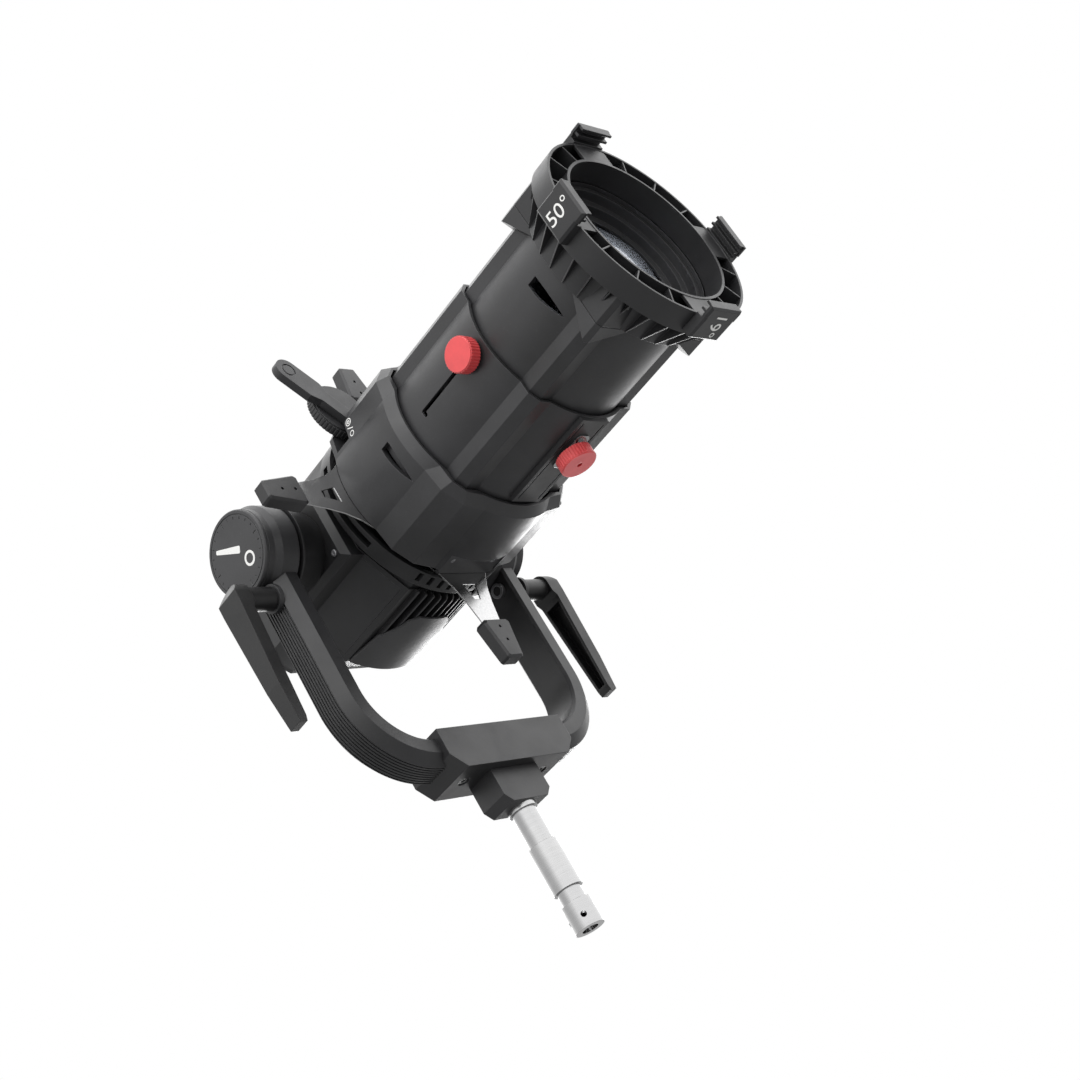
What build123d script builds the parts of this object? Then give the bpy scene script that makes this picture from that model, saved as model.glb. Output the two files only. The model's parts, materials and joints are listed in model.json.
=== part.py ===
from build123d import *
from math import cos, sin, radians
import os

# Ellipsoidal spotlight: a lamp head with a framing barrel, tilting in a U yoke on a stand pin.
# Millimetres. +Z up, +X to the right arm, the beam leaves along -Y. The stand pin ends at z = 0.

# ---------------------------------------------------------------- stand pin and yoke foot
PIN_R = 14.3
PIN_END_LENGTH = 26.3
PIN_GROOVE_LENGTH = 13.1
PIN_GROOVE_R = 11.7
PIN_BODY_LENGTH = 47.2
PIN_NECK_LENGTH = 35.9
PIN_NECK_R = 12.0
PIN_COLLAR_LENGTH = 4.9
PIN_SHANK_R = 9.0
PIN_SHANK_LENGTH = 24.0
SPIGOT_R = 8.05
SPIGOT_DEPTH = 42.0
PIN_CROSS_HOLE_R = 2.8
PIN_CROSS_HOLE_HEIGHT = 11.0
STEM_HALF_WIDTH = 30.8
STEM_HALF_DEPTH = 16.25
STEM_HEIGHT = 34.5
STEM_CHAMFER = 8.0
BASE_HALF_WIDTH = 82.3
BASE_HALF_DEPTH = 27.8
BASE_HEIGHT = 41.4
BASE_CHAMFER = 14.6
BASE_SCREW_X = 52.0
BASE_SCREW_R = 5.5
BASE_SCREW_HEAD = 3.0

# ---------------------------------------------------------------- yoke band
PIVOT_Z = 425.8
YOKE_INNER_X = 135.6
YOKE_THICKNESS = 25.8
YOKE_HALF_DEPTH = 21.95
YOKE_FOOT_Z = 197.8
YOKE_BEND_R = 57.0
YOKE_INNER_CHAMFER = 2.7
YOKE_SHOULDER = 15.5
YOKE_RIB_HALF_DEPTH = 12.9
YOKE_GROOVE_COUNT = 8
YOKE_GROOVE_WIDTH = 1.5
YOKE_GROOVE_DEPTH = 1.2

# ---------------------------------------------------------------- tilt hubs
DRUM_R = 44.4
DRUM_NOSE_R = 41.0
DRUM_INNER_X = YOKE_INNER_X + 0.4
DRUM_SHOULDER_X = YOKE_INNER_X + 19.4
DRUM_NOSE_X = YOKE_INNER_X + 32.4
CAP_R = 40.2
CAP_RIM_R = 37.0
CAP_FACE_X = YOKE_INNER_X + 36.5
CAP_SEAT_DEPTH = 3.0
CAP_TICK_COUNT = 24
JOURNAL_R = 22.0
JOURNAL_CLEARANCE = 0.05
JOURNAL_END_X = YOKE_INNER_X + 23.4
BUSH_R = 27.0
HUB_CONE_R = 46.5
HUB_CONE_ROOT_R = 38.0
HUB_RIM_WIDTH = 2.0
HUB_FACE_GAP = 2.6

# ---------------------------------------------------------------- tilt lock levers
LEVER_Y = -5.0
LEVER_DROP = 55.8
LEVER_COLLAR_R = 13.6
LEVER_COLLAR_HEIGHT = 4.6
LEVER_STUD_R = 5.0
LEVER_STUD_CLEARANCE = 0.05
LEVER_BOSS_R = 11.2
LEVER_BOSS_END_X = YOKE_INNER_X + 67.4
LEVER_FACE_X = YOKE_INNER_X + 78.9
LEVER_ARM_THICKNESS = 13.0
LEVER_ARM_LENGTH = 135.0
LEVER_TOP_HALF_WIDTH = 14.0
LEVER_TIP_HALF_WIDTH = 7.5
LEVER_WALL = 3.0
LEVER_NUT_R = 8.0
LEVER_NUT_THICKNESS = 4.0

# ---------------------------------------------------------------- lamp head
LAMP_SIDE_X = 82.0
LAMP_SIDE_HALF_HEIGHT = 36.0
LAMP_CORNER_X = 48.0
LAMP_HALF_HEIGHT = 86.0
LAMP_WALL = 5.0
LAMP_FRONT_Y = -60.0
LAMP_SHELL_Y = -52.0
LAMP_BACK_Y = 58.0
LAMP_APERTURE_R = 44.0
LAMP_REAR_Y = 122.0
REAR_HALF_HEIGHT = 49.0
REAR_CORNER_X = 52.0
REAR_SIDE_X = 74.0
REAR_SIDE_HALF_HEIGHT = 30.0
REAR_COVER_THICKNESS = 6.0
LOUVRE_COUNT = 12
LOUVRE_THICKNESS = 2.0
LOUVRE_ROOT = 4.0
PANEL_THICKNESS = 2.0
PANEL_MARGIN = 6.0
PANEL_CLEARANCE = 0.2
VENT_COUNT = 9
VENT_WIDTH = 4.0
VENT_PITCH = 8.5
VENT_LENGTH = 74.0
FIN_R = 98.0
FIN_THICKNESS = 1.6
FIN_FRONT_Y = -55.0
FIN_NOSE_R = 5.0
COVER_R = 99.6
COVER_SHELL = 2.6
COVER_EDGE = ((18.0, -23.0), (26.0, -15.6), (32.5, 1.0), (41.0, 14.0), (46.0, 50.0))
BLOCK_INNER_X = 70.0
BLOCK_OUTER_X = 100.0
BLOCK_HALF_LENGTH = 51.0
BLOCK_HALF_HEIGHT = 43.0
BLOCK_CHAMFER = 6.0
SINK_FIN_COUNT = 13
SINK_FIN_THICKNESS = 2.0
SINK_HALF_WIDTH = 52.0
SINK_HALF_HEIGHT = 56.0
LED_R = 16.0
CONDENSER_R = 40.0
FAN_HALF_SIZE = 46.0
FAN_DEPTH = 22.0
FAN_Y = 84.0
FAN_BORE_R = 42.5
FAN_BLADE_R = 41.0
FAN_HUB_R = 18.0
FAN_BLADE_COUNT = 7
FAN_AXLE_R = 3.0
FAN_AXLE_CLEARANCE = 0.05
CONTROL_KNOB_R = 11.0
CONTROL_KNOB_HEIGHT = 11.0
CONTROL_KNOB_X = 34.0
CONTROL_KNOB_Z = -20.0
CONTROL_STEM_R = 3.0
INLET_R = 13.0
INLET_X = -40.0
INLET_Z = 12.0

# ---------------------------------------------------------------- shutter gate
GATE_APERTURE_R = 38.0
BLADE_THICKNESS = 1.2
BLADE_GAP = 0.3
SIDE_BLADE_Y = -84.5
TOP_BLADE_Y = -78.0
GATE_PLATE_THICKNESS = 4.0
GATE_HALF_SIZE = 62.0
GATE_CORNER_CUT = 13.0
GATE_POST_R = 4.0
GATE_POST_OFFSET = 53.5
SHROUD_R = 98.0
SHROUD_WALL = 5.0
SHROUD_WEB = 3.0
SHROUD_FRONT_Y = -76.8
SHROUD_SLOT_WIDTH = 4.5
SHROUD_SLOT_REAR_Y = -64.4
SHROUD_SLOT_FRONT_Y = -75.0
SHROUD_SLOT_FIRST_X = 3.7
SHROUD_SLOT_PITCH = 10.95
SHROUD_SLOTS_PER_SIDE = 5
SHROUD_WINDOW_HALF_HEIGHT = 47.0
BLADE_LENGTH = 102.0
BLADE_ROOT_HALF_WIDTH = 40.0
BLADE_TIP_HALF_WIDTH = 12.9
GRIP_LENGTH = 43.0
GRIP_THICKNESS = 13.4
GRIP_WIDE_HALF = 16.8
GRIP_NARROW_HALF = 10.2
GRIP_HOLE_R = 1.6
GRIP_REACH = {"bottom": 190.0, "top": 168.5, "left": 197.0, "right": 193.0}
GRIP_ANGLE = {"bottom": 270.0, "top": 90.0, "left": 180.0, "right": 0.0}

# ---------------------------------------------------------------- gate housing
HOUSING_SIDE_R = 97.0
HOUSING_CORNER_R = 104.6
HOUSING_FLAT_DEG = 6.7
HOUSING_SHOULDER_DEG = 19.5
HOUSING_FRONT_Y = -177.0
HOUSING_BEVEL = 10.0
HOUSING_BORE_R = 91.0
HOUSING_REAR_WALL = 5.0
MOUTH_GAP = 2.2
COVER_FLAT_Z = 86.0
COVER_FLAT_HALF_WIDTH = 36.0
TOP_FLAT_HALF_WIDTH = 26.0
COVER_FLAT_Y = -106.0
COVER_PLATE_THICKNESS = 3.0
COVER_SCREW_R = 2.6
COVER_SCREW_INSET = 9.0
SCOOP_Y_HOUSING = -149.8
SCOOP_LENGTH = 40.0
SCOOP_WIDTH = 10.4
CORE_R = 60.0
CORE_WALL = 4.0
RING_CLEARANCE = 0.05

# ---------------------------------------------------------------- iris lever, gobo wheel and ring
IRIS_ANGLE = 130.5
IRIS_FRONT_Y = -110.0
IRIS_THICKNESS = 8.0
IRIS_RING_R = 74.0
IRIS_APERTURE_R = 30.0
IRIS_TIP_R = 173.0
IRIS_PADDLE_HALF_WIDTH = 12.5
IRIS_PADDLE_R = 142.0
IRIS_STEM_HALF_WIDTH = 7.5
WHEEL_R = 31.0
WHEEL_THICKNESS = 10.0
WHEEL_FRONT_Y = -101.5
WHEEL_CENTRE_R = 112.0
WHEEL_ANGLE = 124.0
WHEEL_AXLE_R = 4.0
WHEEL_KNURLS = 48
MESH_GAP = 0.3
SLOT_FROM_DEG = 104.0
SLOT_TO_DEG = 152.0

# ---------------------------------------------------------------- middle sleeve
SLEEVE_SIDE_R = 85.5
SLEEVE_CORNER_R = 93.5
SLEEVE_FLAT_DEG = 3.8
SLEEVE_SHOULDER_DEG = 11.0
SLEEVE_FRONT_Y = -289.5
SLEEVE_REAR_Y = -146.0
SLEEVE_FLANGE_LENGTH = 6.0
SLEEVE_WALL = 3.2
KNOB_SLOT_WIDTH = 4.2
KNOB_SLOT_FRONT_Y = -272.0
KNOB_SLOT_REAR_Y = -195.5
KNOB_SLOT_HOOK = 3.6
RAIL_HALF_WIDTH = 18.0
RAIL_FACE_Z = 88.6
RAIL_FRONT_Y = -289.0
RAIL_REAR_Y = -181.0
SLEEVE_TAB_Y = -207.0
SLEEVE_TAB_TOP = 98.0
LOCK_PLATE_HALF_WIDTH = 8.0
LOCK_PLATE_HALF_LENGTH = 21.0
LOCK_PLATE_THICKNESS = 1.8
LOCK_SCREW_OFFSET = 13.4
LOCK_SCREW_R = 3.4

# ---------------------------------------------------------------- red lock knobs
SIDE_KNOB_R = 16.3
SIDE_KNOB_Y = -269.2
SIDE_KNOB_BASE_X = 88.0
SIDE_KNOB_FACE_X = 100.0
SIDE_KNOB_STEM_R = 2.0
SIDE_KNOB_STEM_END_X = 77.5
STEM_CLEARANCE = 0.05
BELLY_KNOB_R = 17.5
BELLY_KNOB_Y = -250.4
BELLY_KNOB_BASE_Z = 93.5
BELLY_KNOB_FACE_Z = 105.5
BELLY_KNOB_STEM_R = 4.0
BELLY_KNOB_HOLE_R = 2.6
KNOB_KNURLS = 36
KNURL_DEPTH = 0.9

# ---------------------------------------------------------------- front tube
TUBE_SIDE_R = 80.5
TUBE_CORNER_R = 89.0
TUBE_FRONT_Y = -384.0
TUBE_REAR_Y = -222.5
TUBE_BORE_R = 76.5
TUBE_SLIDE_GAP = 0.3
GLIDE_RING_Y = (-283.5, -230.0)
GLIDE_RING_WIDTH = 6.0
SCOOP_Y_TUBE = -359.0

# ---------------------------------------------------------------- front flange, ring, hood and clips
FLANGE_REAR_Y = -383.0
FLANGE_FRONT_Y = -413.0
FLANGE_REAR_R = 86.5
FLANGE_FRONT_R = 90.5
FLANGE_RIB_R = 102.6
FLANGE_RIB_COUNT = 32
FLANGE_RIB_THICKNESS = 1.3
FLANGE_JOINT = 0.5
RIDGE_REAR_Y = -362.0
RIDGE_FULL_Y = -383.0
RIDGE_HALF_WIDTH = 33.0
RIDGE_CORNER_R = 102.0
RIDGE_FLAT_DEG = 1.7
RIDGE_SHOULDER_DEG = 20.5
RING_FRONT_Y = -435.8
RING_R = 104.6
RING_WALL = 2.4
RING_RIBS_PER_QUARTER = 3
HOOD_R = 81.4
HOOD_WALL = 2.6
HOOD_REAR_Y = -413.0
STEP_R = (75.0, 66.0, 56.0)
STEP_Y = (-409.0, -401.0, -393.0)
LENS_R = 62.0
LENS_EDGE_THICKNESS = 5.3
LENS_BULGE = 15.0
RETAINER_WIDTH = 6.0
LENS_SEAT_Y = -384.5
CLIP_HALF_WIDTH = 19.5
CLIP_REAR_Y = -416.5
CLIP_FRONT_Y = -451.0
CLIP_PLATE_THICKNESS = 8.9
CLIP_BAR_LENGTH = 11.0
CLIP_BAR_HALF_WIDTH = 20.5
CLIP_BEVEL = 2.0
CLIP_FIN_THICKNESS = 2.2
CLIP_CHANNEL = 4.7
CLIP_CHANNEL_DEPTH = 5.5
CLIP_SADDLE = 1.6

HEAD = Pos(0, 0, PIVOT_Z)
os.makedirs("parts", exist_ok=True)


def polar(r, degrees):
    return (r * cos(radians(degrees)), r * sin(radians(degrees)))


def prism(sketch, rear_y, front_y):
    """A section in X and Z, drawn out along the beam from rear_y to front_y."""
    return extrude(Plane.XZ.offset(-rear_y) * sketch, rear_y - front_y)


def tube(outer_r, inner_r, rear_y, front_y):
    return prism(Circle(outer_r) - Circle(inner_r), rear_y, front_y)


def disc_x(r, x_from, x_to, y=0.0, z=0.0):
    return extrude(Plane.YZ.offset(x_from) * Pos(y, z) * Circle(r), x_to - x_from)


def cone_x(r_from, r_to, x_from, x_to):
    profile = Polyline((x_from, 0), (x_from, r_from), (x_to, r_to), (x_to, 0), close=True)
    return revolve(Plane.XZ * make_face(profile), Axis.X)


def rod_y(r, x, z, rear_y, front_y):
    return prism(Pos(x, z) * Circle(r), rear_y, front_y)


def rod_z(r, x, y, z_from, z_to):
    return extrude(Plane.XY.offset(z_from) * Pos(x, y) * Circle(r), z_to - z_from)


def block(x_from, x_to, y_from, y_to, z_from, z_to):
    size = (x_to - x_from, y_to - y_from, z_to - z_from)
    centre = ((x_from + x_to) / 2, (y_from + y_to) / 2, (z_from + z_to) / 2)
    return Pos(*centre) * Box(*size)


def mirrored(solid):
    return mirror(solid, about=Plane.YZ)


def pair(solid):
    return [solid, mirrored(solid)]


def barrel_section(side_r, corner_r, flat_deg, shoulder_deg):
    """A round tube's section with a raised, faceted ridge at each diagonal."""
    edges = []
    for corner in (45, 135, 225, 315):
        start = polar(side_r, corner - shoulder_deg)
        rise = polar(corner_r, corner - flat_deg)
        fall = polar(corner_r, corner + flat_deg)
        end = polar(side_r, corner + shoulder_deg)
        middle = polar(side_r, corner + 45)
        following = polar(side_r, corner + 90 - shoulder_deg)
        edges += [Line(start, rise), Line(rise, fall), Line(fall, end)]
        edges += [ThreePointArc(end, middle, following)]
    return make_face(edges)


def knurled(r, depth, count):
    notch = Circle(depth)
    rim = [Pos(*polar(r + depth * 0.35, 360 * i / count)) * notch for i in range(count)]
    return Circle(r) - rim


# ================================================================ yoke, foot and pin
def yoke_band():
    foot_half = YOKE_INNER_X - YOKE_BEND_R
    bend_z = YOKE_FOOT_Z + YOKE_BEND_R
    top_z = PIVOT_Z - 20
    elbow = YOKE_BEND_R * (1 - cos(radians(45)))
    path = Wire([
        Line((-YOKE_INNER_X, 0, top_z), (-YOKE_INNER_X, 0, bend_z)),
        ThreePointArc((-YOKE_INNER_X, 0, bend_z), (-YOKE_INNER_X + elbow, 0, YOKE_FOOT_Z + elbow),
                      (-foot_half, 0, YOKE_FOOT_Z)),
        Line((-foot_half, 0, YOKE_FOOT_Z), (foot_half, 0, YOKE_FOOT_Z)),
        ThreePointArc((foot_half, 0, YOKE_FOOT_Z), (YOKE_INNER_X - elbow, 0, YOKE_FOOT_Z + elbow),
                      (YOKE_INNER_X, 0, bend_z)),
        Line((YOKE_INNER_X, 0, bend_z), (YOKE_INNER_X, 0, top_z)),
    ])
    half = YOKE_HALF_DEPTH
    rib = YOKE_RIB_HALF_DEPTH
    outline = [(0, -half + YOKE_INNER_CHAMFER), (YOKE_INNER_CHAMFER, -half), (YOKE_SHOULDER, -half),
               (YOKE_THICKNESS, -rib)]
    pitch = 2 * rib / YOKE_GROOVE_COUNT
    for i in range(YOKE_GROOVE_COUNT):
        middle = -rib + pitch * (i + 0.5)
        for side, depth in ((-1, 0), (-1, YOKE_GROOVE_DEPTH), (1, YOKE_GROOVE_DEPTH), (1, 0)):
            outline.append((YOKE_THICKNESS - depth, middle + side * YOKE_GROOVE_WIDTH / 2))
    outline += [(YOKE_THICKNESS, rib), (YOKE_SHOULDER, half), (YOKE_INNER_CHAMFER, half),
                (0, half - YOKE_INNER_CHAMFER)]
    start = Plane(origin=(-YOKE_INNER_X, 0, top_z), x_dir=(-1, 0, 0), z_dir=(0, 0, -1))
    band = sweep(start * make_face(Polyline(*outline, close=True)), path=path)
    outer_x = YOKE_INNER_X + YOKE_THICKNESS
    for solid in pair(disc_x(DRUM_R + 0.1, YOKE_INNER_X - 1, outer_x + 1)):
        band -= HEAD * solid
    stud_hole = disc_x(LEVER_STUD_R + LEVER_STUD_CLEARANCE, YOKE_INNER_X - 1, outer_x + 1, LEVER_Y,
                       -LEVER_DROP)
    for solid in pair(stud_hole):
        band -= HEAD * solid
    return band


def base_clamp(band):
    low = YOKE_FOOT_Z + 5.5 - BASE_HEIGHT
    high = YOKE_FOOT_Z + 5.5
    half = BASE_HALF_WIDTH
    outline = Polyline((-half, high), (-half, low + BASE_CHAMFER), (-half + BASE_CHAMFER, low),
                       (half - BASE_CHAMFER, low), (half, low + BASE_CHAMFER), (half, high), close=True)
    body = prism(make_face(outline), BASE_HALF_DEPTH, -BASE_HALF_DEPTH) - band
    for x in (-BASE_SCREW_X, BASE_SCREW_X):
        body -= rod_z(BASE_SCREW_R + 0.4, x, 0, low - 1, low + BASE_SCREW_HEAD + 1)
    return body


def clamp_screws():
    low = YOKE_FOOT_Z + 5.5 - BASE_HEIGHT
    screws = []
    for x in (-BASE_SCREW_X, BASE_SCREW_X):
        head = rod_z(BASE_SCREW_R, x, 0, low + 1, low + BASE_SCREW_HEAD + 1)
        head -= extrude(Plane.XY.offset(low + 1) * Pos(x, 0) * RegularPolygon(2.9, 6), 2.0)
        screws.append(head)
    return screws


def stem_block():
    high = YOKE_FOOT_Z + 5.5 - BASE_HEIGHT
    low = high - STEM_HEIGHT
    half = STEM_HALF_WIDTH
    outline = Polyline((-half, high), (-half, low + STEM_CHAMFER), (-half + STEM_CHAMFER, low),
                       (half - STEM_CHAMFER, low), (half, low + STEM_CHAMFER), (half, high), close=True)
    body = prism(make_face(outline), STEM_HALF_DEPTH, -STEM_HALF_DEPTH)
    return body - rod_z(PIN_SHANK_R, 0, 0, low - 1, low + PIN_SHANK_LENGTH)


def stand_pin():
    lengths = (PIN_END_LENGTH, PIN_GROOVE_LENGTH, PIN_BODY_LENGTH, PIN_NECK_LENGTH, PIN_COLLAR_LENGTH,
               PIN_SHANK_LENGTH)
    radii = (PIN_R, PIN_GROOVE_R, PIN_R, PIN_NECK_R, PIN_R, PIN_SHANK_R)
    pin = None
    z = 0.0
    for length, r in zip(lengths, radii):
        step = rod_z(r, 0, 0, z, z + length)
        pin = step if pin is None else pin + step
        z += length
    pin -= rod_z(SPIGOT_R, 0, 0, -1, SPIGOT_DEPTH)
    for turn in (45, 135):
        hole = Rot(0, 0, turn) * Rot(90, 0, 0) * Cylinder(PIN_CROSS_HOLE_R, 4 * PIN_R)
        pin -= Pos(0, 0, PIN_CROSS_HOLE_HEIGHT) * hole
    return pin


# ================================================================ tilt hubs and levers
def hub_drum():
    cone_end = YOKE_INNER_X + YOKE_THICKNESS
    drum = disc_x(DRUM_R, DRUM_INNER_X, DRUM_SHOULDER_X)
    drum += cone_x(DRUM_R, DRUM_NOSE_R, DRUM_SHOULDER_X, cone_end)
    drum += disc_x(DRUM_NOSE_R, cone_end, DRUM_NOSE_X)
    drum -= disc_x(BUSH_R, DRUM_INNER_X - 1, JOURNAL_END_X + 1)
    return drum - disc_x(CAP_RIM_R, DRUM_NOSE_X - CAP_SEAT_DEPTH, DRUM_NOSE_X + 1)


def hub_bush():
    bush = disc_x(BUSH_R, DRUM_INNER_X, JOURNAL_END_X + 1)
    return bush - disc_x(JOURNAL_R + JOURNAL_CLEARANCE, DRUM_INNER_X - 1, JOURNAL_END_X + 2)


def hub_cap():
    cap = disc_x(CAP_RIM_R, DRUM_NOSE_X - CAP_SEAT_DEPTH, DRUM_NOSE_X)
    cap += disc_x(DRUM_NOSE_R - 0.3, DRUM_NOSE_X, CAP_FACE_X - 1.2)
    cap += cone_x(DRUM_NOSE_R - 0.3, CAP_R - 0.6, CAP_FACE_X - 1.2, CAP_FACE_X)
    groove = disc_x(CAP_RIM_R, CAP_FACE_X - 0.7, CAP_FACE_X + 1)
    cap -= groove - disc_x(CAP_RIM_R - 0.9, CAP_FACE_X - 0.7, CAP_FACE_X + 1)
    for i in range(CAP_TICK_COUNT):
        length = 5.0 if i % 6 == 0 else 2.6
        tick = block(CAP_FACE_X - 0.5, CAP_FACE_X + 1, -0.5, 0.5, 34.5 - length, 34.5)
        cap -= Rot(360 * i / CAP_TICK_COUNT, 0, 0) * tick
    return cap


def lever_collar():
    face = YOKE_INNER_X + YOKE_THICKNESS
    ring = disc_x(LEVER_COLLAR_R, face, face + LEVER_COLLAR_HEIGHT, LEVER_Y, -LEVER_DROP)
    return ring - disc_x(LEVER_STUD_R + LEVER_STUD_CLEARANCE, face - 1, face + 10, LEVER_Y, -LEVER_DROP)


def lever_nut():
    inner = YOKE_INNER_X - LEVER_NUT_THICKNESS
    nut = disc_x(LEVER_NUT_R, inner, YOKE_INNER_X, LEVER_Y, -LEVER_DROP)
    return nut - disc_x(LEVER_STUD_R + LEVER_STUD_CLEARANCE, inner - 1, YOKE_INNER_X + 1, LEVER_Y, -LEVER_DROP)


def lever():
    boss_x = YOKE_INNER_X + YOKE_THICKNESS + LEVER_COLLAR_HEIGHT + 0.4
    inner = LEVER_FACE_X - LEVER_ARM_THICKNESS
    body = disc_x(LEVER_BOSS_R, boss_x, LEVER_BOSS_END_X, LEVER_Y, -LEVER_DROP)
    stud_end = YOKE_INNER_X - LEVER_NUT_THICKNESS + 0.4
    body += disc_x(LEVER_STUD_R, stud_end, boss_x + 1, LEVER_Y, -LEVER_DROP)
    top = -LEVER_DROP + LEVER_TOP_HALF_WIDTH
    tip = -LEVER_DROP - LEVER_ARM_LENGTH
    side = Polyline((inner - 4, top), (LEVER_FACE_X - 10, top), (LEVER_FACE_X, top - 12),
                    (LEVER_FACE_X, tip + 40), (LEVER_FACE_X - 3, tip), (inner + 1.5, tip),
                    (inner, tip + 6), (inner, -LEVER_DROP - LEVER_BOSS_R - 6),
                    (inner - 4, -LEVER_DROP - LEVER_BOSS_R), close=True)
    arm = prism(make_face(side), LEVER_Y + 30, LEVER_Y - 30)
    front = Polyline((LEVER_Y - LEVER_TOP_HALF_WIDTH, top + 5), (LEVER_Y + LEVER_TOP_HALF_WIDTH, top + 5),
                     (LEVER_Y + LEVER_TOP_HALF_WIDTH, -LEVER_DROP - 10),
                     (LEVER_Y + LEVER_TIP_HALF_WIDTH, tip - 1), (LEVER_Y - LEVER_TIP_HALF_WIDTH, tip - 1),
                     (LEVER_Y - LEVER_TOP_HALF_WIDTH, -LEVER_DROP - 10), close=True)
    arm &= extrude(Plane.YZ.offset(inner - 10) * make_face(front), 60)
    round_top = disc_x(LEVER_TOP_HALF_WIDTH, inner - 10, LEVER_FACE_X + 1, LEVER_Y, -LEVER_DROP)
    below = block(inner - 10, LEVER_FACE_X + 1, LEVER_Y - 30, LEVER_Y + 30, tip - 5, -LEVER_DROP)
    arm &= round_top + below
    channel_top = -LEVER_DROP - LEVER_BOSS_R - 12
    wide = LEVER_TOP_HALF_WIDTH - LEVER_WALL - 1
    narrow = LEVER_TIP_HALF_WIDTH - LEVER_WALL + 0.5
    hollow = Polyline((LEVER_Y - wide, channel_top), (LEVER_Y + wide, channel_top),
                      (LEVER_Y + narrow, tip + 8), (LEVER_Y - narrow, tip + 8), close=True)
    arm -= extrude(Plane.YZ.offset(inner - 10) * make_face(hollow),
                   10 + LEVER_ARM_THICKNESS - LEVER_WALL)
    return body + arm


def trunnion():
    face = YOKE_INNER_X - HUB_FACE_GAP
    rim = face - HUB_RIM_WIDTH
    shaft = cone_x(HUB_CONE_ROOT_R, HUB_CONE_R, BLOCK_OUTER_X, rim) + disc_x(HUB_CONE_R, rim, face)
    shaft += disc_x(BUSH_R, face, DRUM_INNER_X - 0.4)
    return shaft + disc_x(JOURNAL_R, DRUM_INNER_X - 0.4, JOURNAL_END_X)


# ================================================================ lamp head
def lamp_outline(inset=0.0):
    side = LAMP_SIDE_X - inset
    high = LAMP_HALF_HEIGHT - inset
    knee = LAMP_SIDE_HALF_HEIGHT - inset * 0.25
    corner = LAMP_CORNER_X - inset * 0.55
    points = [(side, knee), (corner, high), (-corner, high), (-side, knee)]
    points += [(-side, -knee), (-corner, -high), (corner, -high), (side, -knee)]
    return make_face(Polyline(*points, close=True))


def slanted(x_sign, z_sign):
    """The frame of one slanted lamp face: origin in its middle, x along the beam, z outward."""
    dx = LAMP_SIDE_X - LAMP_CORNER_X
    dz = LAMP_HALF_HEIGHT - LAMP_SIDE_HALF_HEIGHT
    middle = (x_sign * (LAMP_SIDE_X + LAMP_CORNER_X) / 2, (LAMP_SHELL_Y + LAMP_BACK_Y) / 2,
              z_sign * (LAMP_HALF_HEIGHT + LAMP_SIDE_HALF_HEIGHT) / 2)
    return Plane(origin=middle, x_dir=(0, 1, 0), z_dir=(x_sign * dz, 0, z_sign * dx))


def panel_blank(x_sign, z_sign, clearance=0.0):
    dx = LAMP_SIDE_X - LAMP_CORNER_X
    dz = LAMP_HALF_HEIGHT - LAMP_SIDE_HALF_HEIGHT
    length = LAMP_BACK_Y - LAMP_SHELL_Y - 2 * PANEL_MARGIN + 2 * clearance
    width = (dx ** 2 + dz ** 2) ** 0.5 - 2 * PANEL_MARGIN + 2 * clearance
    face = slanted(x_sign, z_sign)
    return extrude(face.offset(-PANEL_THICKNESS) * Rectangle(length, width), PANEL_THICKNESS)


def vent_slots(z_sign):
    slots = []
    for i in range(VENT_COUNT):
        x = (i - (VENT_COUNT - 1) / 2) * VENT_PITCH
        z = z_sign * LAMP_HALF_HEIGHT
        slots.append(block(x - VENT_WIDTH / 2, x + VENT_WIDTH / 2, -VENT_LENGTH / 2, VENT_LENGTH / 2,
                           z - LAMP_WALL - 2, z + LAMP_WALL + 2))
    return slots


def cooling_fins(z_sign):
    """Thin fins between the vent slots, rounded at the front, under a circle about the beam axis."""
    side = Pos((FIN_FRONT_Y + LAMP_BACK_Y) / 2, 0) * Rectangle(LAMP_BACK_Y - FIN_FRONT_Y - 4, 2 * FIN_R)
    side = fillet(side.vertices().group_by(Axis.X)[0], FIN_NOSE_R)
    under = rod_y(FIN_R, 0, 0, LAMP_BACK_Y, FIN_FRONT_Y - 1)
    low = LAMP_HALF_HEIGHT - LAMP_WALL / 2
    under &= block(-FIN_R, FIN_R, FIN_FRONT_Y - 1, LAMP_BACK_Y, low, FIN_R + 1)
    fins = []
    for i in range(VENT_COUNT + 1):
        x = (i - VENT_COUNT / 2) * VENT_PITCH
        plate = extrude(Plane.YZ.offset(x - FIN_THICKNESS / 2) * side, FIN_THICKNESS) & under
        plate -= block(x - 2, x + 2, FIN_FRONT_Y - 1, LAMP_SHELL_Y, low - 1, LAMP_HALF_HEIGHT)
        fins.append(plate if z_sign > 0 else mirror(plate, about=Plane.XY))
    return fins


def lamp_shell(covers):
    shell = prism(lamp_outline() - lamp_outline(LAMP_WALL), LAMP_BACK_Y, LAMP_SHELL_Y)
    for x_sign in (-1, 1):
        for z_sign in (-1, 1):
            shell -= panel_blank(x_sign, z_sign, PANEL_CLEARANCE)
    for z_sign in (-1, 1):
        shell -= vent_slots(z_sign)
        shell += cooling_fins(z_sign)
    return shell - covers


def lamp_front():
    return prism(lamp_outline(2.0) - Circle(LAMP_APERTURE_R), LAMP_SHELL_Y, LAMP_FRONT_Y)


def side_panels():
    return [panel_blank(x_sign, z_sign) for x_sign in (-1, 1) for z_sign in (-1, 1)]


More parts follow.
